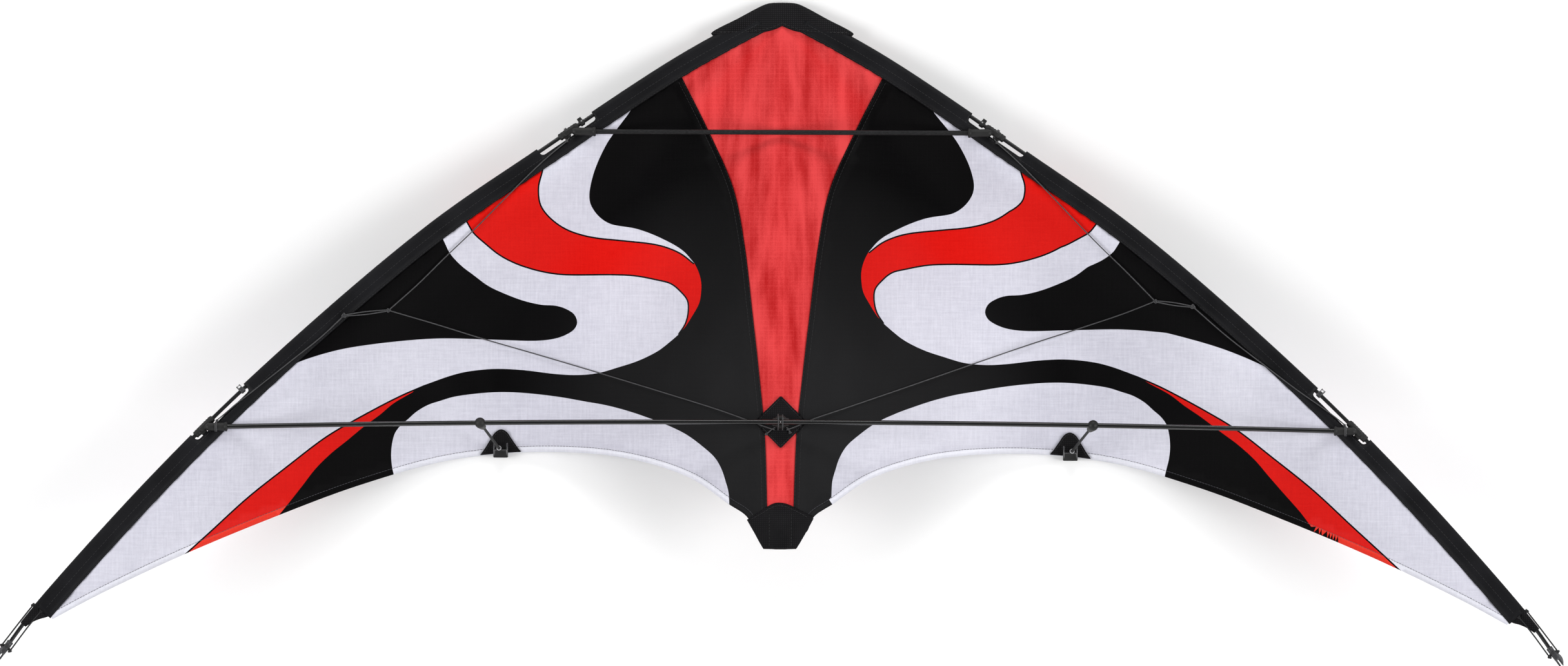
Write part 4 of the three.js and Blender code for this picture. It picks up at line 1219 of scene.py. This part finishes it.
def leg_hitches(side):
    """The outer leg's hitch on the lower fitting's arm, and the upper leg's on the upper fitting."""
    hitch = []
    for x in (576.2, 577.5):
        ring = [lower_spreader_point(x) + (0, 4.6 * math.cos(t), 4.6 * math.sin(t)) for t in turns(32)]
        hitch.append(tube(mirrored(ring, side), LINE_RADIUS, 8, closed=True))
    hitch.append(knot_shape(on_sail(575.8, -92.4, 4.6), side, 1.4, LINE_RADIUS, 0.5))
    piece(f"outer_leg_hitch_{side}", merged(*hitch), LINE)
    along, tied_at = along_at_x(219), on_sail(220.4, 195.9, 3.7)
    hitch = [ring_shape(along + d, 0, 4.7, LINE_RADIUS, side) for d in (0, 1.3)]
    hitch.append(knot_shape(tied_at, side, 1.3, LINE_RADIUS, 0.9))
    strand = [beside_edge(along + 0.6, -4.7, 0), (beside_edge(along + 0.6, -5.6, 2.2) + tied_at) / 2, tied_at]
    hitch.append(tube(mirrored(spline(strand, 0.6), side), LINE_RADIUS, 8))
    piece(f"upper_leg_hitch_{side}", merged(*hitch), LINE)


for side in SIDES:
    edge_fitting("upper", UPPER_FITTING_X, UPPER_ARM_MOUTH, UPPER_SPREADER_HALF, upper_spreader_point, side)
    edge_fitting("lower", LOWER_FITTING_X, LOWER_ARM_MOUTH, LOWER_SPREADER_HALF, lower_spreader_point, side)
    upper_stopper(side)
    lower_stopper(side)
    nock(side)
    bungee_ties(side)
    leg_hitches(side)


# ---- Centre T ----
def centre_t():
    """The rubber T behind the spreader: a barrel on the spine, a riser, and a mouth that grips the spreader."""
    y = LOWER_SPREADER_Y[0]
    hub = np.array([0, y, frame_z(y)])
    spine = np.array([0, -1, PITCH]) / math.hypot(1, PITCH)
    low = hub - (0, 0, SPINE_DROP)
    half = [(0, 4.4), (8.4, 4.35), (9, 4.0), (9.5, 4.4), (11.2, 4.4), (11.8, 4.1), (12, 3.3)]
    barrel = lathe([*((-s, r) for s, r in reversed(half[1:])), *half], low, spine, 36)
    riser = lathe([(0, 7.5), (7, 7.3), (14, 6.9), (17.5, 6.6), (18.6, 6.3), (19.4, 5.5), (20.0, 4.2)], low, (0, 0, 1),
                  44)
    saddle = block(hub + (0, 0, LOWER_BOW - 2.6), (17.5, 8.4, 5.6), None, 1.8, 4)
    made = piece("centre_tee", merged(barrel, riser, saddle), SOFT_RUBBER, replaces=["centre_t"])
    moulded(made, 0.5, 3)
    for tool in (tube([lower_spreader_point(x) for x in (-20, -10, 0, 10, 20)], SPREADER_RADIUS + BORE_GAP, 24),
                 tube([low + spine * d for d in (-30, 30)], SPINE_RADIUS + BORE_GAP, 24),
                 block(hub + (0, 0, LOWER_BOW + 6), (24, 4.9, 12), None, 0.1, 1)):
        drilled(made, tool)


def centre_ties():
    """Two turns of line over the spreader at the T, and the inner legs' knots and tails beside it."""
    y = LOWER_SPREADER_Y[0]
    top = frame_z(y) + LOWER_BOW
    shapes = []
    for x, rise in ((-2.6, 0.0), (1.9, 0.6)):
        loop = [(x, y + 8.0 - rise, top - 4.4), (x, y + 6.6, top - 1.2), (x + 0.2, y + 3.6, top + 2.3),
                (x + 0.3, y, top + 3.2), (x + 0.2, y - 3.6, top + 2.3), (x, y - 6.6, top - 1.2),
                (x, y - 8.2, top - 5.4)]
        shapes.append(tube(spline(loop, 0.7), LINE_RADIUS, 10))
    piece("centre_tie", merged(*shapes), LINE)
    for side, x, dy in (("left", 14.5, -12.4), ("right", 9.5, -10.6)):
        knot = np.array([x, y + dy, float(sail_z(x, y + dy)) + 3.4])
        knot_piece(f"leg_knot_{side}", knot, side, 1.2, 0.55, 0.3 + SIDES[side])
        beside = float(sail_z(8, y - 6))
        tail = [(x - 0.6, y + dy + 0.6, knot[2]), (7.6, y - 6.6, beside + 4.4), (5.4, y - 5.6, beside + 5.6)]
        piece(f"leg_tail_{side}", tube(spline(tail, 0.8), 0.55, 8), LINE, side)


centre_t()
centre_ties()


# ---- Standoffs ----
def standoff(side):
    """One standoff: its ball connector on the lower spreader, its rod, and its foot on the trailing edge."""
    ball_x, foot_x = STANDOFFS[side]
    centre = lower_spreader_point(ball_x)
    edge_y = float(trailing_y(foot_x))
    seat = np.array([foot_x, edge_y + 3.5, FOOT_TOP - 4])
    length = float(np.linalg.norm(seat - centre))
    down = (seat - centre) / length
    body = f"standoff_{side}"

    def at(distance):
        return centre + down * distance

    profile = [(-BALL_RADIUS, 0.2), (-5.35, 1.2), (-4.9, 2.5), (-4.1, 3.7), (-2.9, 4.7), (-1.5, 5.3), (0, BALL_RADIUS),
               (1.6, 5.45), (3.4, 5.2), (5, 4.9), (7, 4.65), (12, 3.9), (15, 3.35), (16.2, 3.1), (16.8, 2.7),
               (NECK_LENGTH, 2.1)]
    made = piece(f"standoff_connector_{side}", lathe(profile, centre, down, 44), SOFT_RUBBER, side, body,
                 [f"standoff_ball_{side}"])
    bored(made, [lower_spreader_point(ball_x + d) for d in (-12, -6, 0, 6, 12)], SPREADER_RADIUS + BORE_GAP, side, 24)
    bored(made, [at(SPREADER_RADIUS + 5), at(NECK_LENGTH + 3)], STANDOFF_ROD_RADIUS + 0.05, side)
    rod(f"standoff_stick_{side}", [at(SPREADER_RADIUS + 5.3), at(length)], STANDOFF_ROD_RADIUS, MATTE_ROD,
        side, [f"standoff_rod_{side}"], body, 20)
    base = np.array([foot_x, edge_y, 0])
    blocks = [block(base + offset, size, None, 0.9, 4) for offset, size in
              (((0, -2.5, 6.4), (FOOT_WIDTH, 3.0, 12.8)), ((0, -1.2, 1.5), (FOOT_WIDTH, 5.4, 3.0)),
               ((0, 0.5, 11.2), (FOOT_WIDTH * 0.94, 7.4, 3.0)))]
    foot = piece(f"standoff_foot_{side}", merged(*blocks), RUBBER, side, body,
                 [f"standoff_foot_{side}"])
    moulded(foot, 0.35, 2)
    bend = ((-2.2, 11.6), (1, 12.1), (6, 12.2), (9.4, 11.6), (10.6, 10.4))
    prongs = [tube(spline([base + (x, y, z) for y, z in bend], 0.6), 1.0, 14) for x in (-6.6, 6.6)]
    crossing = tube([base + (x, 3.6, 12.0) for x in np.linspace(-6.6, 6.6, 10)], 0.85, 12)
    clip = piece(f"standoff_clip_{side}", merged(*prongs, crossing), CLEAR, side, body)
    moulded(clip, 0.25, 2)
    first, second = across_of(down)
    ring = [at(length - 9) + 2.0 * (math.cos(a) * first + math.sin(a) * second) for a in turns(28)]
    piece(f"standoff_ring_{side}", tube(ring, 0.55, 10, closed=True), CLEAR_PALE, side, body)


for side in SIDES:
    standoff(side)


# ---- Floor, light and world ----
floor_mesh = bpy.data.meshes.new("floor")
floor_mesh.from_pydata([(-6, -6, -0.0002), (6, -6, -0.0002), (6, 6, -0.0002), (-6, 6, -0.0002)], [], [(0, 1, 2, 3)])
floor = added("floor", floor_mesh)
plain = Shader("pale_floor", 0.9, 0.1)
plain.set("Base Color", (0.93, 0.93, 0.93, 1))
floor_mesh.materials.append(plain.material)


def soft_light(name, place, aim, size, power):
    data = bpy.data.lights.new(name, "AREA")
    data.shape = "RECTANGLE"
    data.size, data.size_y = size
    data.energy = power
    light = added(name, data)
    light.location = place
    light.rotation_euler = (Vector(aim) - Vector(place)).to_track_quat("-Z", "Y").to_euler()


for name, across, power in (("left_softbox", -4.2, 170), ("right_softbox", 4.2, 180)):
    soft_light(name, (across, -0.3, 3.0), (0, 0, 0), (2.4, 3.4), power)
soft_light("nose_softbox", (0.0, 4.6, 2.6), (0, 0, 0.1), (4.4, 1.4), 120)
soft_light("tail_softbox", (0.0, -4.4, 2.2), (0, 0, 0.0), (4.4, 1.6), 70)
world = bpy.data.worlds.new("studio")
bpy.context.scene.world = world
world.use_nodes = True
sky = world.node_tree.nodes["Background"]
sky.inputs["Color"].default_value = (1, 1, 1, 1)
sky.inputs["Strength"].default_value = 0.28
